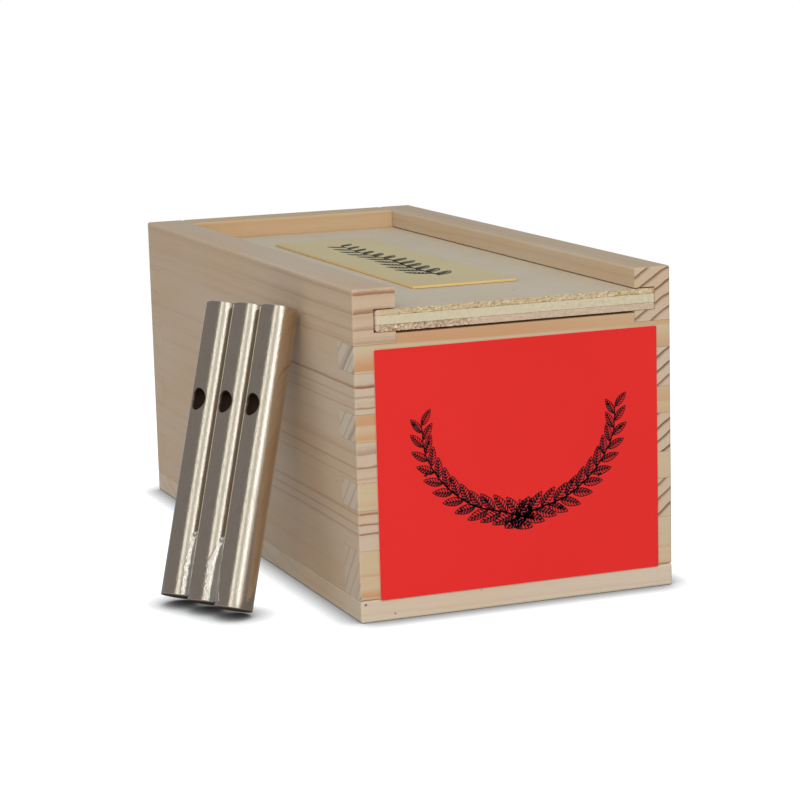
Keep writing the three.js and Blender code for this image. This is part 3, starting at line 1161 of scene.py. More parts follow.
    def scatter(self, row: CrumbRow, seed: int, material: bpy.types.Material) -> bpy.types.Object:
        """Runs the crumb tree on a strip over the ply's front edge.

        Args:
            row: The row of crumbs.
            seed: The seed of the scatter.
            material: The crumbs' material.

        Returns:
            The crumbs as one plain mesh.
        """
        low, high = corners(row.node)
        draft = Draft()
        front = low.y + self.crumb_sink
        ends = (low.x + self.crumb_margin, high.x - self.crumb_margin)
        rows = [draft.ring([Vector((x, front, high.z - drop)) for x in ends])
                for drop in self.crumb_band]
        draft.bridge(rows[0], rows[1], closed=False)
        strip = draft.finish(f"{row.name}_strip")
        tree = GeometryTree(row.name, {"Density": row.density / MM ** 2,
                                       "Crumb Size": row.size * MM, "Seed": seed})
        spots = tree.node("GeometryNodeDistributePointsOnFaces", None, {
            "Mesh": tree.given("Geometry"), "Density": tree.given("Density"),
            "Seed": tree.given("Seed")})
        crumb = tree.node("GeometryNodeMeshIcoSphere", None,
                          {"Radius": tree.given("Crumb Size") * 0.5, "Subdivisions": 1})
        flatten = tree.node("FunctionNodeRandomValue", {"data_type": "FLOAT_VECTOR"}, {
            0: Vector(self.crumb_least), 1: Vector(self.crumb_most),
            "Seed": tree.given("Seed")})
        spin = tree.node("FunctionNodeRandomValue", {"data_type": "FLOAT_VECTOR"}, {
            0: -Vector(self.crumb_spin), 1: Vector(self.crumb_spin),
            "Seed": tree.given("Seed") + 1})
        placed = tree.node("GeometryNodeInstanceOnPoints", None, {
            "Points": spots, "Instance": crumb, "Rotation": spin, "Scale": flatten})
        tree.close(placed, material)
        return tree.run(strip, row.name)


@dataclass
class LeafSpray:
    """Leaves and berries along a stem, as flat engraved strokes of ink.

    The stem's points are in the plane of the card, in millimetres from the spray's centre. The
    spreads are the angles of leaves and berries to the stem, in degrees.
    """

    stem: tuple[tuple[float, float], ...]
    leaf_count: int
    leaf_size: float
    berry_count: int = 0
    spread: float = 36.0
    berry_spread: float = 62.0
    stem_width: float = 0.4
    stem_thinning: float = 0.6
    stem_steps: int = 40
    path_steps: int = 60
    tip_shrink: float = 0.3
    relief: float = 0.03
    strokes: int = 6

    def build(self, name: str, material: bpy.types.Material, turn: Matrix) -> bpy.types.Object:
        """Draws the spray.

        Args:
            name: The piece's name.
            material: The ink.
            turn: Where the drawing's own plane stands in the frame, in millimetres.

        Returns:
            The spray's object.
        """
        parts = [self.stem_ribbon(f"{name}_stem")]
        leaf = self.leaf(f"{name}_leaf")
        parts.append(self.along(f"{name}_leaves", leaf, self.leaf_count, self.leaf_size,
                                self.spread, material))
        if self.berry_count:
            berry = self.berry(f"{name}_berry")
            parts.append(self.along(f"{name}_berries", berry, self.berry_count, 1.0,
                                    self.berry_spread, material))
        piece = join(name, parts)
        piece.data.transform(Matrix.Scale(MM, 4) @ turn @ Matrix.Scale(1 / MM, 4))
        return piece

    def path(self, count: int) -> list[Vector]:
        """Places points along the smooth stem.

        Args:
            count: How many steps the stem has.

        Returns:
            The points, one more than the steps.
        """
        knots = [Vector((x, y, 0)) for x, y in self.stem]
        ends = [knots[0] * 2 - knots[1], *knots, knots[-1] * 2 - knots[-2]]
        points = []
        for i in range(count + 1):
            place = i / count * (len(knots) - 1)
            k = min(int(place), len(knots) - 2)
            t = place - k
            a, b, c, d = ends[k:k + 4]
            points.append(0.5 * (2 * b + (c - a) * t + (2 * a - 5 * b + 4 * c - d) * t ** 2
                                 + (3 * b - a - 3 * c + d) * t ** 3))
        return points

    def ribbon(self, draft: Draft, line: Sequence[Vector], widths: Sequence[float]) -> None:
        """Adds a flat closed ribbon along a line.

        Args:
            draft: The mesh.
            line: The line's points.
            widths: The ribbon's width at each of them.
        """
        rows = []
        for i, point in enumerate(line):
            ahead = line[min(i + 1, len(line) - 1)] - line[max(i - 1, 0)]
            side = Vector((-ahead.y, ahead.x, 0)).normalized() * widths[i] / 2
            rise = Vector((0, 0, self.relief))
            rows.append(draft.ring([point - side, point + side, point + side + rise,
                                    point - side + rise]))
        for first, second in zip(rows, rows[1:]):
            draft.bridge(first, second)
        draft.cap(rows[0][::-1])
        draft.cap(rows[-1])

    def stem_ribbon(self, name: str) -> bpy.types.Object:
        """Makes the stem, which thins towards its tip.

        Args:
            name: The piece's name.

        Returns:
            The stem's object.
        """
        draft = Draft()
        line = self.path(self.stem_steps)
        widths = [self.stem_width * (1 - self.stem_thinning * i / self.stem_steps)
                  for i in range(self.stem_steps + 1)]
        self.ribbon(draft, line, widths)
        return draft.finish(name)

    def leaf(self, name: str) -> bpy.types.Object:
        """Makes one engraved leaf along +X, a millimetre long.

        Args:
            name: The piece's name.

        Returns:
            The leaf's object.
        """
        draft = Draft()
        self.ribbon(draft, [Vector((x, 0, 0)) for x in (-0.1, 0.5, 0.97)], (0.05, 0.035, 0.015))
        for side, weight in ((1, 0.095), (-1, 0.055)):
            edge = [Vector((t, side * self.half_width(t), 0)) for t in
                    (0.03, 0.12, 0.25, 0.4, 0.55, 0.7, 0.85, 0.98)]
            self.ribbon(draft, edge, [0.035] * len(edge))
            for k in range(self.strokes):
                start = 0.08 + 0.78 * k / self.strokes
                stop = start + 0.13
                self.ribbon(draft, [Vector((start, 0, 0)),
                                    Vector((stop, side * self.half_width(stop), 0))],
                            (weight, weight * 0.7))
        return draft.finish(name)

    @staticmethod
    def half_width(t: float) -> float:
        """Half the leaf's width at t along it."""
        return 0.19 * math.sin(math.pi * t ** 0.85) ** 0.9

    def berry(self, name: str) -> bpy.types.Object:
        """Makes a berry at the end of a short stalk along +X.

        Args:
            name: The piece's name.

        Returns:
            The berry's object.
        """
        draft = Draft()
        self.ribbon(draft, [Vector((0, 0, 0)), Vector((1.9, 0.25, 0))], (0.16, 0.12))
        for radius, width in ((0.42, 0.3), (0.14, 0.2)):
            loop = [Vector((2.4 + radius * math.cos(a), 0.3 + radius * math.sin(a), 0))
                    for a in (math.tau * i / 12 for i in range(10))]
            self.ribbon(draft, loop, [width] * len(loop))
        return draft.finish(name)

    def along(
        self, name: str, motif: bpy.types.Object, count: int, size: float, spread: float,
        material: bpy.types.Material,
    ) -> bpy.types.Object:
        """Sets a motif along the stem, on its two sides in turn.

        Args:
            name: The result's name.
            motif: The leaf or berry. It is removed afterwards.
            count: How many of them.
            size: Their scale at the stem's foot.
            spread: The angle between the motif and the stem, in degrees.
            material: The ink.

        Returns:
            All of them as one plain mesh.
        """
        base = polyline(f"{name}_path", [point * MM for point in self.path(self.path_steps)])
        tree = GeometryTree(name, {"Motif": motif, "Count": count, "Size": size,
                                   "Spread": math.radians(spread)})
        curve = tree.node("GeometryNodeMeshToCurve", None, {"Mesh": tree.given("Geometry")})
        spots = tree.node("GeometryNodeResampleCurve", None,
                          {"Curve": curve, "Count": tree.given("Count")})
        shape = tree.node("GeometryNodeObjectInfo", None, {"Object": tree.given("Motif")}, "Geometry")
        number = tree.node("GeometryNodeInputIndex")
        side = tree.math("FLOORED_MODULO", number, 2.0) * 2.0 - 1.0
        x, y, _ = tree.split(tree.node("GeometryNodeInputTangent"))
        heading = tree.math("ARCTAN2", y, x) + side * tree.given("Spread")
        shrink = tree.node("GeometryNodeSplineParameter", output="Factor")
        scale = tree.given("Size") * (1 - shrink * self.tip_shrink)
        placed = tree.node("GeometryNodeInstanceOnPoints", None, {
            "Points": spots, "Instance": shape, "Rotation": tree.combine(0.0, 0.0, heading),
            "Scale": tree.combine(scale, scale, 1.0)})
        tree.close(placed, material)
        piece = tree.run(base, name)
        bpy.data.objects.remove(motif)
        return piece


@dataclass
class Labels:
    """The red card on the box's front, the buff card on the lid, and what is printed on them."""

    corner: float = 0.35
    corner_steps: int = 4
    ease: float = 0.08
    print_room: float = 0.05
    ink_gap: float = 0.005
    red: Colour = (0.87, 0.024, 0.018)
    red_cut: Colour = (0.75, 0.42, 0.36)
    buff: Colour = (0.69, 0.55, 0.285)
    buff_cut: Colour = (0.83, 0.58, 0.24)
    black: Colour = (0.022, 0.006, 0.012)
    grey: Colour = (0.07, 0.06, 0.045)
    spray_drop: float = 1.5
    spray_stem: tuple[tuple[float, float], ...] = (
        (-2.6, -10.6), (3.5, -8.6), (10.5, -6.4), (16.6, -1.6), (20.4, 4.6), (21.2, 10.8))
    border_place: tuple[float, float] = (-0.4, -3.5)
    border_stem: tuple[tuple[float, float], ...] = (
        (-30.0, 0.0), (-15.0, 0.6), (0.0, -0.5), (15.0, 0.6), (30.0, 0.0))

    def build(self) -> None:
        """Builds and hands over both cards and both prints."""
        front = self.card("front_label", Axis.Y)
        finish = PrintedCard("red_card", self.red, self.red_cut, Axis.Y)
        hand_over(front, "box", "red_card", finish.build(), "front_label")
        lid = self.card("lid_label", Axis.Z)
        finish = PrintedCard("buff_card", self.buff, self.buff_cut, Axis.Z, roughness=0.5)
        hand_over(lid, "lid", "yellow_card", finish.build(), "lid_label")
        self.front_print()
        self.lid_print()

    def front_print(self) -> None:
        """Prints two crossed leafy sprays on the red card."""
        ink = PrintedInk("black_print", self.black, self.red).build()
        low, high = corners("front_label")
        centre = Matrix.Translation(((low.x + high.x) / 2, low.y + self.print_room + self.ink_gap,
                                     (low.z + high.z) / 2 - self.spray_drop))
        upright = centre @ Matrix.Rotation(math.radians(90), 4, "X")
        sprays = []
        for name, side in (("right", 1.0), ("left", -1.0)):
            stem = tuple((side * x, y) for x, y in self.spray_stem)
            spray = LeafSpray(stem, leaf_count=25, leaf_size=5.4, berry_count=8)
            sprays.append(spray.build(f"{name}_spray", ink, upright))
        hand_over(join("front_leaf_print", sprays), "box", "black_ink", ink)

    def lid_print(self) -> None:
        """Prints a straight leafy border on the buff card."""
        ink = PrintedInk("grey_print", self.grey, self.buff, thin=0.6).build()
        _, high = corners("lid_label")
        level = high.z - self.print_room - self.ink_gap
        centre = Matrix.Translation((*self.border_place, level))
        spray = LeafSpray(self.border_stem, leaf_count=23, leaf_size=7.2, spread=42.0,
                          stem_width=0.8)
        piece = spray.build("lid_leaf_print", ink, centre @ Matrix.Rotation(math.radians(90), 4, "Z"))
        hand_over(piece, "lid", "black_ink", ink)

    def card(self, node: str, normal: Axis) -> bpy.types.Object:
        """Makes a thin card with rounded corners, which leaves room for the print in front.

        Args:
            node: The node that the card replaces.
            normal: The axis that the card's face looks along.

        Returns:
            The card's object.
        """
        low, high = corners(node)
        if normal is Axis.Y:
            low.y += self.print_room
        else:
            high.z -= self.print_room
        flat = [axis for axis in range(3) if axis != normal.value]
        draft = Draft()
        rows = []
        for level in (low, high):
            points = []
            for sx, sy, start in ((1, 1, 0), (-1, 1, 90), (-1, -1, 180), (1, -1, 270)):
                centre = [(high[a] if s > 0 else low[a]) - s * self.corner
                          for a, s in zip(flat, (sx, sy))]
                for step in range(self.corner_steps + 1):
                    angle = math.radians(start + 90 / self.corner_steps * step)
                    point = Vector()
                    point[flat[0]] = centre[0] + self.corner * math.cos(angle)
                    point[flat[1]] = centre[1] + self.corner * math.sin(angle)
                    point[normal.value] = level[normal.value]
                    points.append(point)
            rows.append(draft.ring(points))
        draft.bridge(rows[0], rows[1])
        draft.cap(rows[0][::-1])
        draft.cap(rows[1])
        piece = draft.finish(f"{node}_card")
        add_bevel(piece, self.ease, 1)
        shade_smooth(piece, 40)
        return piece


@dataclass
class Whistle:
    """Three tubes side by side, with their plugs, stoppers and solder.

    The last tube stands at the place foot, and each tube's own foot is higher by its foot step
    along the tubes. Lean, tilt and turn are angles in degrees about X, Y and Z.
    """

    radius: float = 3.95
    wall: float = 0.5
    pitch: float = 8.1
    lengths: tuple[float, ...] = (61.8, 62.1, 62.4)
    foot_steps: tuple[float, ...] = (1.77, 0.88, 0.0)
    window_from_top: float = 20.9
    window_width: float = 3.9
    window_length: float = 4.7
    window_dent: float = 0.5
    dent_spread: float = 0.32
    foot: tuple[float, float, float] = (-55.8, -55.2, 1.55)
    lean: float = -20.7
    tilt: float = -6.3
    turn: float = -65.7
    plug_gap: float = 0.02
    plug_recess: float = 0.3
    plug_ease: float = 0.15
    plug_steps: int = 40
    windway: float = 0.9
    stopper_gap: float = 0.01
    stopper_steps: int = 48
    stopper_edge: float = 0.2
    stopper_rim: float = 0.28
    stopper_dish: float = 0.5
    stopper_back: float = 2.8
    nickel: BrightMetal = BrightMetal(
        "bright_nickel_tube", tint=(0.81, 0.77, 0.68), dull=(0.60, 0.55, 0.46), roughness=0.12,
        relief=0.028, lump=2.2, bore=3.88, fleck=0.6)
    tin: BrightMetal = BrightMetal(
        "smeared_solder", tint=(0.98, 0.96, 0.90), dull=(0.72, 0.68, 0.60), roughness=0.09,
        relief=0.15, lump=1.1, line=0.05, fleck=0.25)
    # The stoppers' near-black colour is painted shade, standing in for the dark under the tubes'
    # feet.
    stopper_painted_shade: BrightMetal = BrightMetal(
        "painted_shade_stopper", tint=(0.16, 0.13, 0.10), dull=(0.06, 0.045, 0.035), roughness=0.45,
        relief=0.1, lump=2.2, line=0.3, metallic=0.4)

    def build(self) -> None:
        """Builds and hands over every piece of the whistle."""
        nickel = self.nickel.build()
        tin = self.tin.build()
        stopper_painted_shade = self.stopper_painted_shade.build()
        plug_wood = DarkPlug().build()
        for number in range(1, len(self.lengths) + 1):
            stand = self.stand(number)
            tube = TubeShell(self, self.lengths[number - 1]).build(f"tube_{number}_drawn", stand)
            hand_over(tube, "whistle", "nickel_tube", nickel, f"tube_{number}")
            plug = self.plug(number)
            hand_over(plug, "whistle", "plug_wood", plug_wood, f"windway_plug_{number}")
            stopper = self.stopper(number)
            # The stopper gets the near-black painted-shade finish.
            hand_over(stopper, "whistle", "stopper_metal", stopper_painted_shade, f"end_stopper_{number}")
        for number in range(1, len(self.lengths)):
            for place, side in (("front", -1.0), ("rear", 1.0)):
                seam = SolderSeam(self, number, side)
                piece = seam.build(f"solder_{place}_{number}_flow", self.stand(number))
                hand_over(piece, "whistle", "solder", tin, f"solder_{place}_{number}")

    def stand(self, number: int) -> Matrix:
        """Finds where a tube stands.

        Args:
            number: The tube's number, counted from 1.

        Returns:
            The tube's place and turn, in millimetres.
        """
        turn = (Matrix.Rotation(math.radians(self.turn), 4, "Z")
                @ Matrix.Rotation(math.radians(self.lean), 4, "X")
                @ Matrix.Rotation(math.radians(self.tilt), 4, "Y"))
        along = Matrix.Translation(((number - len(self.lengths)) * self.pitch, 0,
                                    self.foot_steps[number - 1]))
        return Matrix.Translation(self.foot) @ turn @ along

    def plug(self, number: int) -> bpy.types.Object:
        """Makes the plug in a tube's mouth, flat along its front to leave the windway.

        Args:
            number: The tube's number.

        Returns:
            The plug's object.
        """
        radius = self.radius - self.wall - self.plug_gap
        top = self.lengths[number - 1] - self.plug_recess
        bottom = self.lengths[number - 1] - self.window_from_top + self.window_length / 2
        flat = math.acos(1 - self.windway / radius)
        start = -math.pi / 2 + flat
        sweep = math.tau - 2 * flat
        angles = [start + sweep * i / self.plug_steps for i in range(self.plug_steps + 1)]
        draft = Draft()
        rows = [draft.ring([Vector((radius * math.cos(a), radius * math.sin(a), z))
                            for a in angles]) for z in (bottom, top)]
        draft.bridge(rows[0], rows[1])
        draft.cap(rows[0][::-1])
        draft.cap(rows[1])
        piece = draft.finish(f"windway_plug_{number}_turned", self.stand(number))
        add_bevel(piece, self.plug_ease)
        shade_smooth(piece, 40)
        return piece

    def stopper(self, number: int) -> bpy.types.Object:
        """Makes the solder-filled stopper in a tube's foot, slightly dished.

        Args:
            number: The tube's number.

        Returns:
            The stopper's object.
        """
        radius = self.radius - self.wall - self.stopper_gap
        profile = [(radius * t, self.stopper_rim + self.stopper_dish * (1 - t ** 2))
                   for t in (0.2, 0.4, 0.6, 0.8, 0.93)]
        profile += [(radius, self.stopper_edge), (radius, self.stopper_back),
                    (radius * 0.5, self.stopper_back)]
        turns = [math.tau * i / self.stopper_steps for i in range(self.stopper_steps)]
        draft = Draft()
        rows = [draft.ring([Vector((r * math.cos(a), r * math.sin(a), z)) for a in turns])
                for r, z in profile]
        for first, second in zip(rows, rows[1:]):
            draft.bridge(first, second)
        draft.cap(rows[0][::-1])
        draft.cap(rows[-1])
        piece = draft.finish(f"end_stopper_{number}_dished", self.stand(number))
        shade_smooth(piece, 50)
        return piece


@dataclass
class TubeShell:
    """A tube wall as one closed shell, with rounded rims and a round sound window."""

    whistle: Whistle
    length: float
    patch_cells: int = 16
    patch_angle: float = 58.0
    patch_reach: float = 4.0
    around: int = 44
    rings: int = 6
    foot_rows: int = 12
    mouth_rows: int = 6
    tube_rim: float = 0.16
    window_rim: float = 0.04
    rim_angles: tuple[float, ...] = (30.0, 60.0, 90.0)

    def build(self, name: str, place: Matrix) -> bpy.types.Object:
        """Builds the shell.

        Args:
            name: The piece's name.
            place: Where the tube stands.

        Returns:
            The tube's object.
        """
        draft = Draft()
        outside = self.sheet(draft, self.whistle.radius)
        inside = self.sheet(draft, self.whistle.radius - self.whistle.wall)
        for edge in ("top", "bottom", "window"):
            self.round_over(draft, edge, outside[edge], inside[edge])
        piece = draft.finish(name, place)
        shade_smooth(piece, 60)
        return piece

    @staticmethod
    def spot(angle: float, z: float, radius: float) -> Vector:
        """A point on a cylinder; angle 0 faces the middle of the window."""
        return Vector((radius * math.sin(angle), -radius * math.cos(angle), z))

    def columns(self) -> list[float]:
        """Spaces the sheet's columns round the tube.

        Returns:
            Their angles, the window's patch first.
        """
        half = math.radians(self.patch_angle)
        patch = [-half + 2 * half * i / self.patch_cells for i in range(self.patch_cells + 1)]
        rest = math.tau - 2 * half
        return patch + [half + rest * i / self.around for i in range(1, self.around)]

    def heights(self) -> list[float]:
        """Spaces the sheet's rows along the tube.

        Returns:
            Their heights, from foot to mouth.
        """
        centre = self.length - self.whistle.window_from_top
        low, high = centre - self.patch_reach, centre + self.patch_reach
        foot, mouth = self.tube_rim, self.length - self.tube_rim
        below = [foot + (low - foot) * i / self.foot_rows for i in range(self.foot_rows)]
        patch = [low + (high - low) * i / self.patch_cells for i in range(self.patch_cells + 1)]
        above = [high + (mouth - high) * (i + 1) / self.mouth_rows for i in range(self.mouth_rows)]
        return below + patch + above

    def window_point(self, angle: float, trim: float, radius: float) -> Vector:
        """Finds a point on the drilled window's outline.

        Args:
            angle: The angle round the outline.
            trim: How far outside the window's own edge it is.
            radius: The radius of the cylinder that it lies on.

        Returns:
            The point.
        """
        off_dent = (angle - math.pi) / self.whistle.dent_spread
        dent = self.whistle.window_dent * math.exp(-off_dent ** 2)
        across = (self.whistle.window_width / 2 + trim) * math.cos(angle) + dent
        up = (self.whistle.window_length / 2 + trim) * math.sin(angle)
        z = self.length - self.whistle.window_from_top + up
        return self.spot(math.asin(across / radius), z, radius)

    def patch_border(self) -> list[tuple[int, int]]:
        """Walks round the window's patch, from the middle of its right side.

        Returns:
            The column and row of each point on the way.
        """
        last, row = self.patch_cells, self.foot_rows
        half = last // 2
        right = [(last, row + j) for j in range(half, last)]
        top = [(i, row + last) for i in range(last, 0, -1)]
        left = [(0, row + j) for j in range(last, 0, -1)]
        bottom = [(i, row) for i in range(last)]
        return right + top + left + bottom + [(last, row + j) for j in range(half)]

    def sheet(self, draft: Draft, radius: float) -> dict[str, list[bmesh.types.BMVert]]:
        """Adds one cylinder wall with a window in it.

        Args:
            draft: The mesh.
            radius: The cylinder's radius.

        Returns:
            The rows of points along its top, bottom and window.
        """
        columns, rows = self.columns(), self.heights()
        first, cells = self.foot_rows, self.patch_cells
        grid = {}
        for i, angle in enumerate(columns):
            for j, z in enumerate(rows):
                if not (0 < i < cells and first < j < first + cells):
                    grid[i, j] = draft.mesh.verts.new(self.spot(angle, z, radius))
        for i in range(len(columns)):
            k = (i + 1) % len(columns)
            for j in range(len(rows) - 1):
                if not (i < cells and first <= j < first + cells):
                    draft.mesh.faces.new((grid[i, j], grid[k, j], grid[k, j + 1], grid[i, j + 1]))
        border = self.patch_border()
        goals = self.edge_points("window", self.window_rim, radius)
        previous = outer = [grid[key] for key in border]
        for ring in range(1, self.rings + 1):
            t = ring / self.rings
            current = draft.ring([self.between(vertex.co, goal, t, radius)
                                  for vertex, goal in zip(outer, goals)])
            draft.bridge(previous, current)
            previous = current
        return {
            "top": [grid[i, len(rows) - 1] for i in range(len(columns))],
            "bottom": [grid[i, 0] for i in range(len(columns))],
            "window": previous,
        }

    def between(self, start: Vector, goal: Vector, t: float, radius: float) -> Vector:
        """Finds a point between two points of a cylinder, along its surface.

        Args:
            start: The first point.
            goal: The second point.
            t: 0 at the first and 1 at the second.
            radius: The cylinder's radius.

        Returns:
            The point.
        """
        first, last = math.atan2(start.x, -start.y), math.atan2(goal.x, -goal.y)
        return self.spot(first + (last - first) * t, start.z + (goal.z - start.z) * t, radius)

    def round_over(
        self, draft: Draft, edge: str,
        outside: list[bmesh.types.BMVert], inside: list[bmesh.types.BMVert],
    ) -> None:
        """Joins the two walls round one edge with a rounded rim.

        Args:
            draft: The mesh.
            edge: top, bottom or window.
            outside: The outer wall's last row of points.
            inside: The inner wall's.
        """
        rim = self.window_rim if edge == "window" else self.tube_rim
        outer = self.whistle.radius
        inner = outer - self.whistle.wall
        steps = [math.radians(a) for a in self.rim_angles]
        path = [(rim * (1 - math.sin(a)), outer - rim * (1 - math.cos(a))) for a in steps]
        path += [(rim * (1 - math.sin(a)), inner + rim * (1 - math.cos(a)))
                 for a in reversed(steps)]
        previous = outside
        for trim, radius in path:
            current = draft.ring(self.edge_points(edge, trim, radius))
            draft.bridge(previous, current)
            previous = current
        draft.bridge(previous, inside)

    def edge_points(self, edge: str, trim: float, radius: float) -> list[Vector]:
        """Places one row of points round an edge.

        Args:
            edge: top, bottom or window.
            trim: How far from the edge's end it is.
            radius: The radius that it lies on.

        Returns:
            The row's points.
        """
        if edge == "window":
            count = 4 * self.patch_cells
            return [self.window_point(math.tau * n / count, trim, radius) for n in range(count)]
        z = self.length - trim if edge == "top" else trim
        return [self.spot(angle, z, radius) for angle in self.columns()]


@dataclass
class SolderSeam:
    """Solder that ran into the valley between two tubes and smeared over both.

    The reaches are angles in degrees round a tube, from the side where it touches its
    neighbour. The blob is the thicker end of the run, and the bead the raised edge of the smear.
    """

    whistle: Whistle
    number: int
    side: float
    length: float = 13.7
    rows: int = 84
    steps: int = 22
    left_reach: tuple[float, ...] = (44.0, 62.0)
    right_reach: tuple[float, ...] = (60.0, 84.0)
    left_upper: float = 34.0
    right_upper: float = 46.0
    narrow_from: float = 8.0
    narrow_over: float = 4.5
    tip_reach: float = 12.0
    skin: float = 0.045
    swell: float = 0.02
    blob: float = 0.38
    blob_size: float = 0.45
    blob_drop: float = 0.7
    ripple: float = 0.035
    bead: float = 0.015
    lift: float = 0.01
    sunk: float = 0.2
    foot_gap: float = 0.2

    def build(self, name: str, place: Matrix) -> bpy.types.Object:
        """Builds the seam.

        Args:
            name: The piece's name.
            place: Where the left-hand tube stands.

        Returns:
            The seam's object.
        """
        steps = self.whistle.foot_steps
        foot = max(0.0, steps[self.number] - steps[self.number - 1]) + self.foot_gap
        draft = Draft()
        rows = [draft.ring(self.section(foot, i / self.rows)) for i in range(self.rows + 1)]
        for first, second in zip(rows, rows[1:]):
            draft.bridge(first, second)
        draft.cap(rows[0][::-1])
        draft.cap(rows[-1])
        piece = draft.finish(name, place)
        shade_smooth(piece)
        return piece

    def section(self, foot: float, t: float) -> list[Vector]:
        """Makes one closed cross-section of the seam.

        Args:
            foot: The height of the seam's lower end.
            t: 0 at the lower end and 1 at the upper.

        Returns:
            The section's points.
        """
        z = foot + (self.length - foot) * t
        seed = self.number * 7.3 + self.side * 3.1
        jag = noise.fractal(Vector((seed, z * 1.3, 0.0)), 0.6, 2.0, 4)
        swell = noise.fractal(Vector((seed, z * 0.3, 5.0)), 0.7, 2.0, 2)
        blob = math.exp(-((self.length - self.blob_drop - z) / self.blob_size) ** 2)
        close = math.sqrt(max(0.0, 1 - max(0.0, (t - 0.95) / 0.05) ** 2))
        high = min(1.0, max(0.0, (z - self.narrow_from) / self.narrow_over))
        left_more = (self.left_reach[self.number - 1] - self.left_upper) * (1 - high)
        right_more = (self.right_reach[self.number - 1] - self.right_upper) * (1 - t)
        left = self.left_upper + left_more + 4 * jag + 3 * swell
        right = self.right_upper + right_more + 3 * jag + 4 * swell
        left = self.tip_reach + (left - self.tip_reach) * close
        right = self.tip_reach + (right - self.tip_reach) * close
        reach, pitch = self.whistle.radius, self.whistle.pitch
        skin = self.skin + self.swell * swell + self.blob * blob * close
        start = self.on_tube(0.0, left, reach + self.lift)
        stop = self.on_tube(pitch, 180 - right, reach + self.lift)
        valley = (self.on_tube(0.0, self.tip_reach, reach)
                  + self.on_tube(pitch, 180 - self.tip_reach, reach)) * 0.5
        crest = []
        for i in range(self.steps + 1):
            s = i / self.steps
            curve = start * (1 - s) ** 2 + valley * (2 * s * (1 - s)) + stop * s ** 2
            rough = noise.fractal(Vector((s * 13 + seed, z * 2.8, 2.0)), 0.8, 2.0, 3)
            bead = self.bead * math.exp(-((min(s, 1 - s) - 0.09) / 0.05) ** 2)
            rim = min(1.0, 7 * s * (1 - s))
            height = (skin + rough * self.ripple + bead) * rim
            crest.append(self.outside(curve, self.lift + height))
        under = [self.on_tube(centre, angle, reach - self.sunk) for centre, angle in (
            (pitch, 180 - right), (pitch, 175), (0.0, 5), (0.0, left))]
        return [Vector((p.x, p.y * -self.side, z)) for p in crest + under]

    @staticmethod
    def on_tube(centre: float, angle: float, radius: float) -> Vector:
        """A point on a tube's wall, on the front."""
        turn = math.radians(angle)
        return Vector((centre + radius * math.cos(turn), -radius * math.sin(turn), 0))

    def outside(self, point: Vector, skin: float) -> Vector:
        """Moves a point out of the tubes.

        Args:
            point: The point.
            skin: How far from a tube's surface it has to be.

        Returns:
            The point, moved only where it was nearer.
        """
        for centre in (0.0, self.whistle.pitch):
            arm = Vector((point.x - centre, point.y, 0))
            least = self.whistle.radius + skin
            if arm.length < least:
                arm = arm.normalized() * least
                point = Vector((centre + arm.x, arm.y, 0))
        return point


@dataclass(frozen=True)
class Lamp:
    """A soft rectangular lamp that looks at the object.

    The azimuth is in degrees round the object, 0 from -Y and positive towards +X, and the
    elevation in degrees above the floor. Distance, width and height are in metres.
    """

    azimuth: float
    elevation: float
    distance: float
    width: float
    height: float
    irradiance: float
    colour: Colour


@dataclass(frozen=True)
class SoftBox:
    """A softbox that bright metal shows: azimuths in degrees, and how bright it is.

    It grows from nothing at start to full at start_end, and fades from end_start to end.
    """

    start: float
    start_end: float
    end_start: float
    end: float
    level: float
    colour: Colour


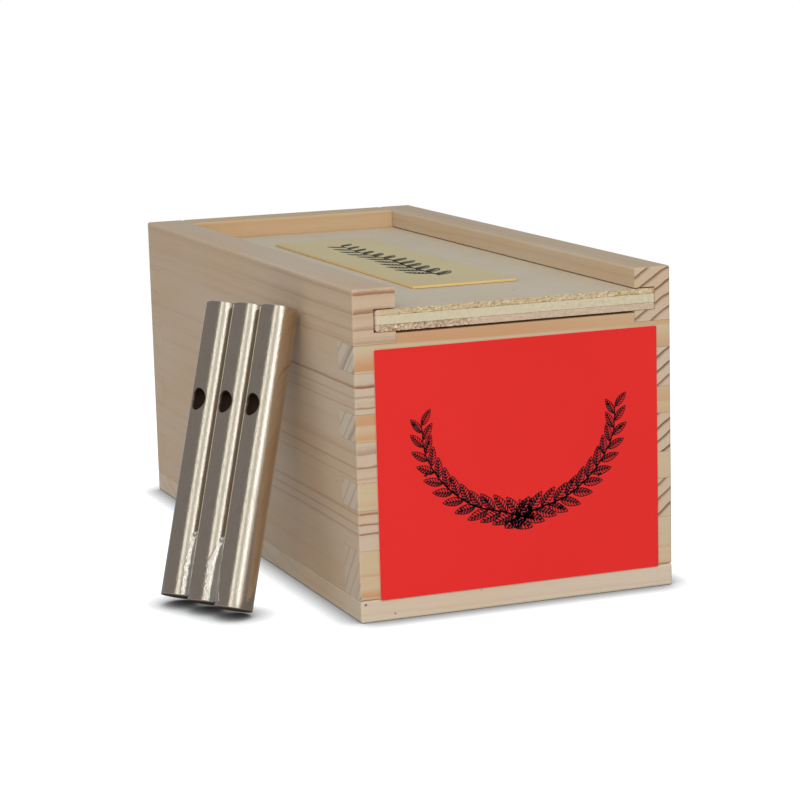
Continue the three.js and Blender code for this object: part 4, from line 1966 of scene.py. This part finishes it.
@dataclass
class Studio:
    """The camera, the floor and soft studio light.

    The sky's colours light the object, and bright metal shows the room's colours and the
    softboxes instead.
    """

    camera_place: tuple[float, float, float] = (-204.56, -535.78, 133.47)
    azimuth: float = -21.156
    elevation: float = 10.165
    roll: float = -1.554
    lens: float = 115.67
    aim: tuple[float, float, float] = (-20.0, -40.0, 30.0)
    key: Lamp = Lamp(-21.0, 30.0, distance=1.3, width=1.1, height=1.5, irradiance=2.2,
                     colour=(1.0, 0.945, 0.87))
    sky_low: Colour = (0.67, 0.78, 0.90)
    sky_high: Colour = (0.38, 0.49, 0.64)
    sky_left: Colour = (0.90, 0.94, 0.98)
    sky_front: Colour = (0.385, 0.37, 0.355)
    room_left: Colour = (0.205, 0.183, 0.175)
    room_right: Colour = (0.27, 0.265, 0.26)
    room_top: Colour = (0.45, 0.50, 0.55)
    boxes: tuple[SoftBox, ...] = (
        SoftBox(-52.0, -40.0, 24.0, 34.0, level=0.4, colour=(1.0, 0.96, 0.84)),
        SoftBox(-51.0, -42.0, -35.0, -27.0, level=0.62, colour=(1.0, 0.97, 0.88)),
        SoftBox(-11.0, 1.0, 10.0, 19.0, level=0.88, colour=(1.0, 1.0, 1.06)),
    )
    floor_reach: float = 6000.0
    floor_colour: Colour = (0.62, 0.62, 0.62)
    shade_reach: float = 6.5
    fade_from: float = 160.0
    fade_to: float = 520.0

    def set_camera(self) -> None:
        """Makes the camera at the photograph's place."""
        data = bpy.data.cameras.new("camera")
        data.lens = self.lens
        data.sensor_width = 36.0
        data.clip_start = 0.01
        data.clip_end = 50.0
        camera = bpy.data.objects.new("camera", data)
        turn = (Matrix.Rotation(math.radians(self.azimuth), 4, "Z")
                @ Matrix.Rotation(math.radians(90 - self.elevation), 4, "X")
                @ Matrix.Rotation(math.radians(self.roll), 4, "Z"))
        camera.matrix_world = Matrix.Translation(Vector(self.camera_place) * MM) @ turn
        bpy.context.scene.collection.objects.link(camera)
        bpy.context.scene.camera = camera
        bpy.context.scene.view_settings.view_transform = "Standard"

    def light(self, name: str, lamp: Lamp) -> None:
        """Adds a lamp that looks at the object, and that neither camera nor metal sees.

        Args:
            name: The lamp's name.
            lamp: Its place, size and light.
        """
        data = bpy.data.lights.new(name, "AREA")
        data.shape = "RECTANGLE"
        data.size = lamp.width
        data.size_y = lamp.height
        data.energy = lamp.irradiance * math.pi * lamp.distance ** 2
        data.color = lamp.colour
        piece = bpy.data.objects.new(name, data)
        a, e = math.radians(lamp.azimuth), math.radians(lamp.elevation)
        back = Vector((math.sin(a) * math.cos(e), -math.cos(a) * math.cos(e), math.sin(e)))
        piece.location = Vector(self.aim) * MM + back * lamp.distance
        piece.rotation_euler = back.to_track_quat("Z", "Y").to_euler()
        piece.visible_camera = False
        piece.visible_glossy = False
        bpy.context.scene.collection.objects.link(piece)

    def build(self) -> None:
        """Adds the key light, the surroundings and the floor."""
        self.light("key", self.key)
        self.surroundings()
        self.floor()

    def surroundings(self) -> None:
        """White behind the object, soft daylight on it, and softboxes for what is bright."""
        world = bpy.data.worlds.new("surroundings")
        bpy.context.scene.world = world
        world.use_nodes = True
        world.node_tree.nodes.clear()
        world.cycles.sampling_method = "NONE"
        tree = ShaderTree(world.node_tree)
        x, y, z = tree.split(tree.node("ShaderNodeTexCoord", output="Generated"))
        glossy = tree.node("ShaderNodeLightPath", output="Is Glossy Ray")
        colour = tree.mix(glossy, self.daylight(tree, x, y, z), self.shine(tree, x, y, z))
        seen = tree.node("ShaderNodeLightPath", output="Is Camera Ray")
        colour = tree.mix(seen, colour, WHITE)
        glow = tree.node("ShaderNodeBackground", None, {"Color": colour, "Strength": 1.0})
        output = world.node_tree.nodes.new("ShaderNodeOutputWorld")
        tree.feed(output.inputs["Surface"], glow)

    def daylight(self, tree: ShaderTree, x: Wire, y: Wire, z: Wire) -> Wire:
        """Mixes the light on the object.

        Args:
            tree: The world's tree.
            x: The direction's part along X.
            y: Its part along Y.
            z: Its part along Z.

        Returns:
            The colour of each direction.
        """
        high = tree.step(z, 0.3, 0.8)
        left = tree.step(x * -1.0, 0.0, 0.8) * (1 - high)
        front = tree.step(y * -1.0, -0.2, 0.8) * (1 - high)
        sky = tree.mix(high, self.sky_low, self.sky_high)
        sky = tree.mix(left, sky, self.sky_left)
        return tree.mix(front, sky, self.sky_front)

    def shine(self, tree: ShaderTree, x: Wire, y: Wire, z: Wire) -> Wire:
        """Mixes what bright metal shows: a dim room with the softboxes in it.

        Args:
            tree: The world's tree.
            x: The direction's part along X.
            y: Its part along Y.
            z: Its part along Z.

        Returns:
            The colour of each direction.
        """
        azimuth = tree.math("ARCTAN2", x, y * -1.0) * math.degrees(1)
        hung = tree.step(z, -0.1, 0.15) * (1 - tree.step(z, 0.75, 0.95))
        room = tree.mix(tree.step(x, -0.2, 0.7), self.room_left, self.room_right)
        room = tree.mix(tree.step(z, 0.7, 0.95), room, self.room_top)
        for box in self.boxes:
            band = tree.step(azimuth, box.start, box.start_end)
            band = band * (1 - tree.step(azimuth, box.end_start, box.end))
            room = tree.mix(band * hung * box.level, room, box.colour, "ADD")
        return room

    def floor(self) -> None:
        """Lays a plain pale floor under the object, which turns to white further off.
        For the camera it glows white, with painted contact shade from ambient occlusion close to the
        object.
        """
        draft = Draft()
        reach = self.floor_reach
        draft.cap(draft.ring([Vector((sx * reach, sy * reach, 0))
                              for sx, sy in ((-1, -1), (1, -1), (1, 1), (-1, 1))]))
        floor = draft.finish("floor")
        tree = MaterialTree("pale_floor")
        seen = tree.node("ShaderNodeLightPath", output="Is Camera Ray")
        mirrored = tree.node("ShaderNodeLightPath", output="Is Glossy Ray")
        # Painted contact shade: the floor's glow for the camera darkens with ambient occlusion near
        # the object.
        gap = tree.node("ShaderNodeAmbientOcclusion", {"samples": 8},
                        {"Distance": self.shade_reach * MM}, "AO")
        matt = tree.node("ShaderNodeBsdfDiffuse", None, {"Color": self.floor_colour})
        lift = tree.node("ShaderNodeEmission", None, {
            "Color": WHITE, "Strength": gap * gap * 1.3})
        near = tree.node("ShaderNodeMixShader", None, {0: seen * 0.85, 1: matt, 2: lift})
        far = tree.node("ShaderNodeEmission", None, {
            "Color": WHITE, "Strength": 0.35 + seen * 0.65 - mirrored * 0.2})
        distance = tree.node("ShaderNodeVectorMath", {"operation": "LENGTH"},
                             {0: tree.place()}, "Value")
        away = tree.step(distance, self.fade_from, self.fade_to)
        fade = tree.math("MAXIMUM", away, mirrored * 0.75)
        floor.data.materials.append(tree.close(
            tree.node("ShaderNodeMixShader", None, {0: fade, 1: near, 2: far})))


def main() -> None:
    """Builds the scene, one sub-assembly after another."""
    logging.basicConfig(level=logging.INFO, format="%(name)s: %(message)s")
    studio = Studio()
    studio.set_camera()
    for assembly in (PineBox(), PlywoodLid(), Labels(), Whistle()):
        assembly.build()
    studio.build()


if __name__ == "__main__":
    main()
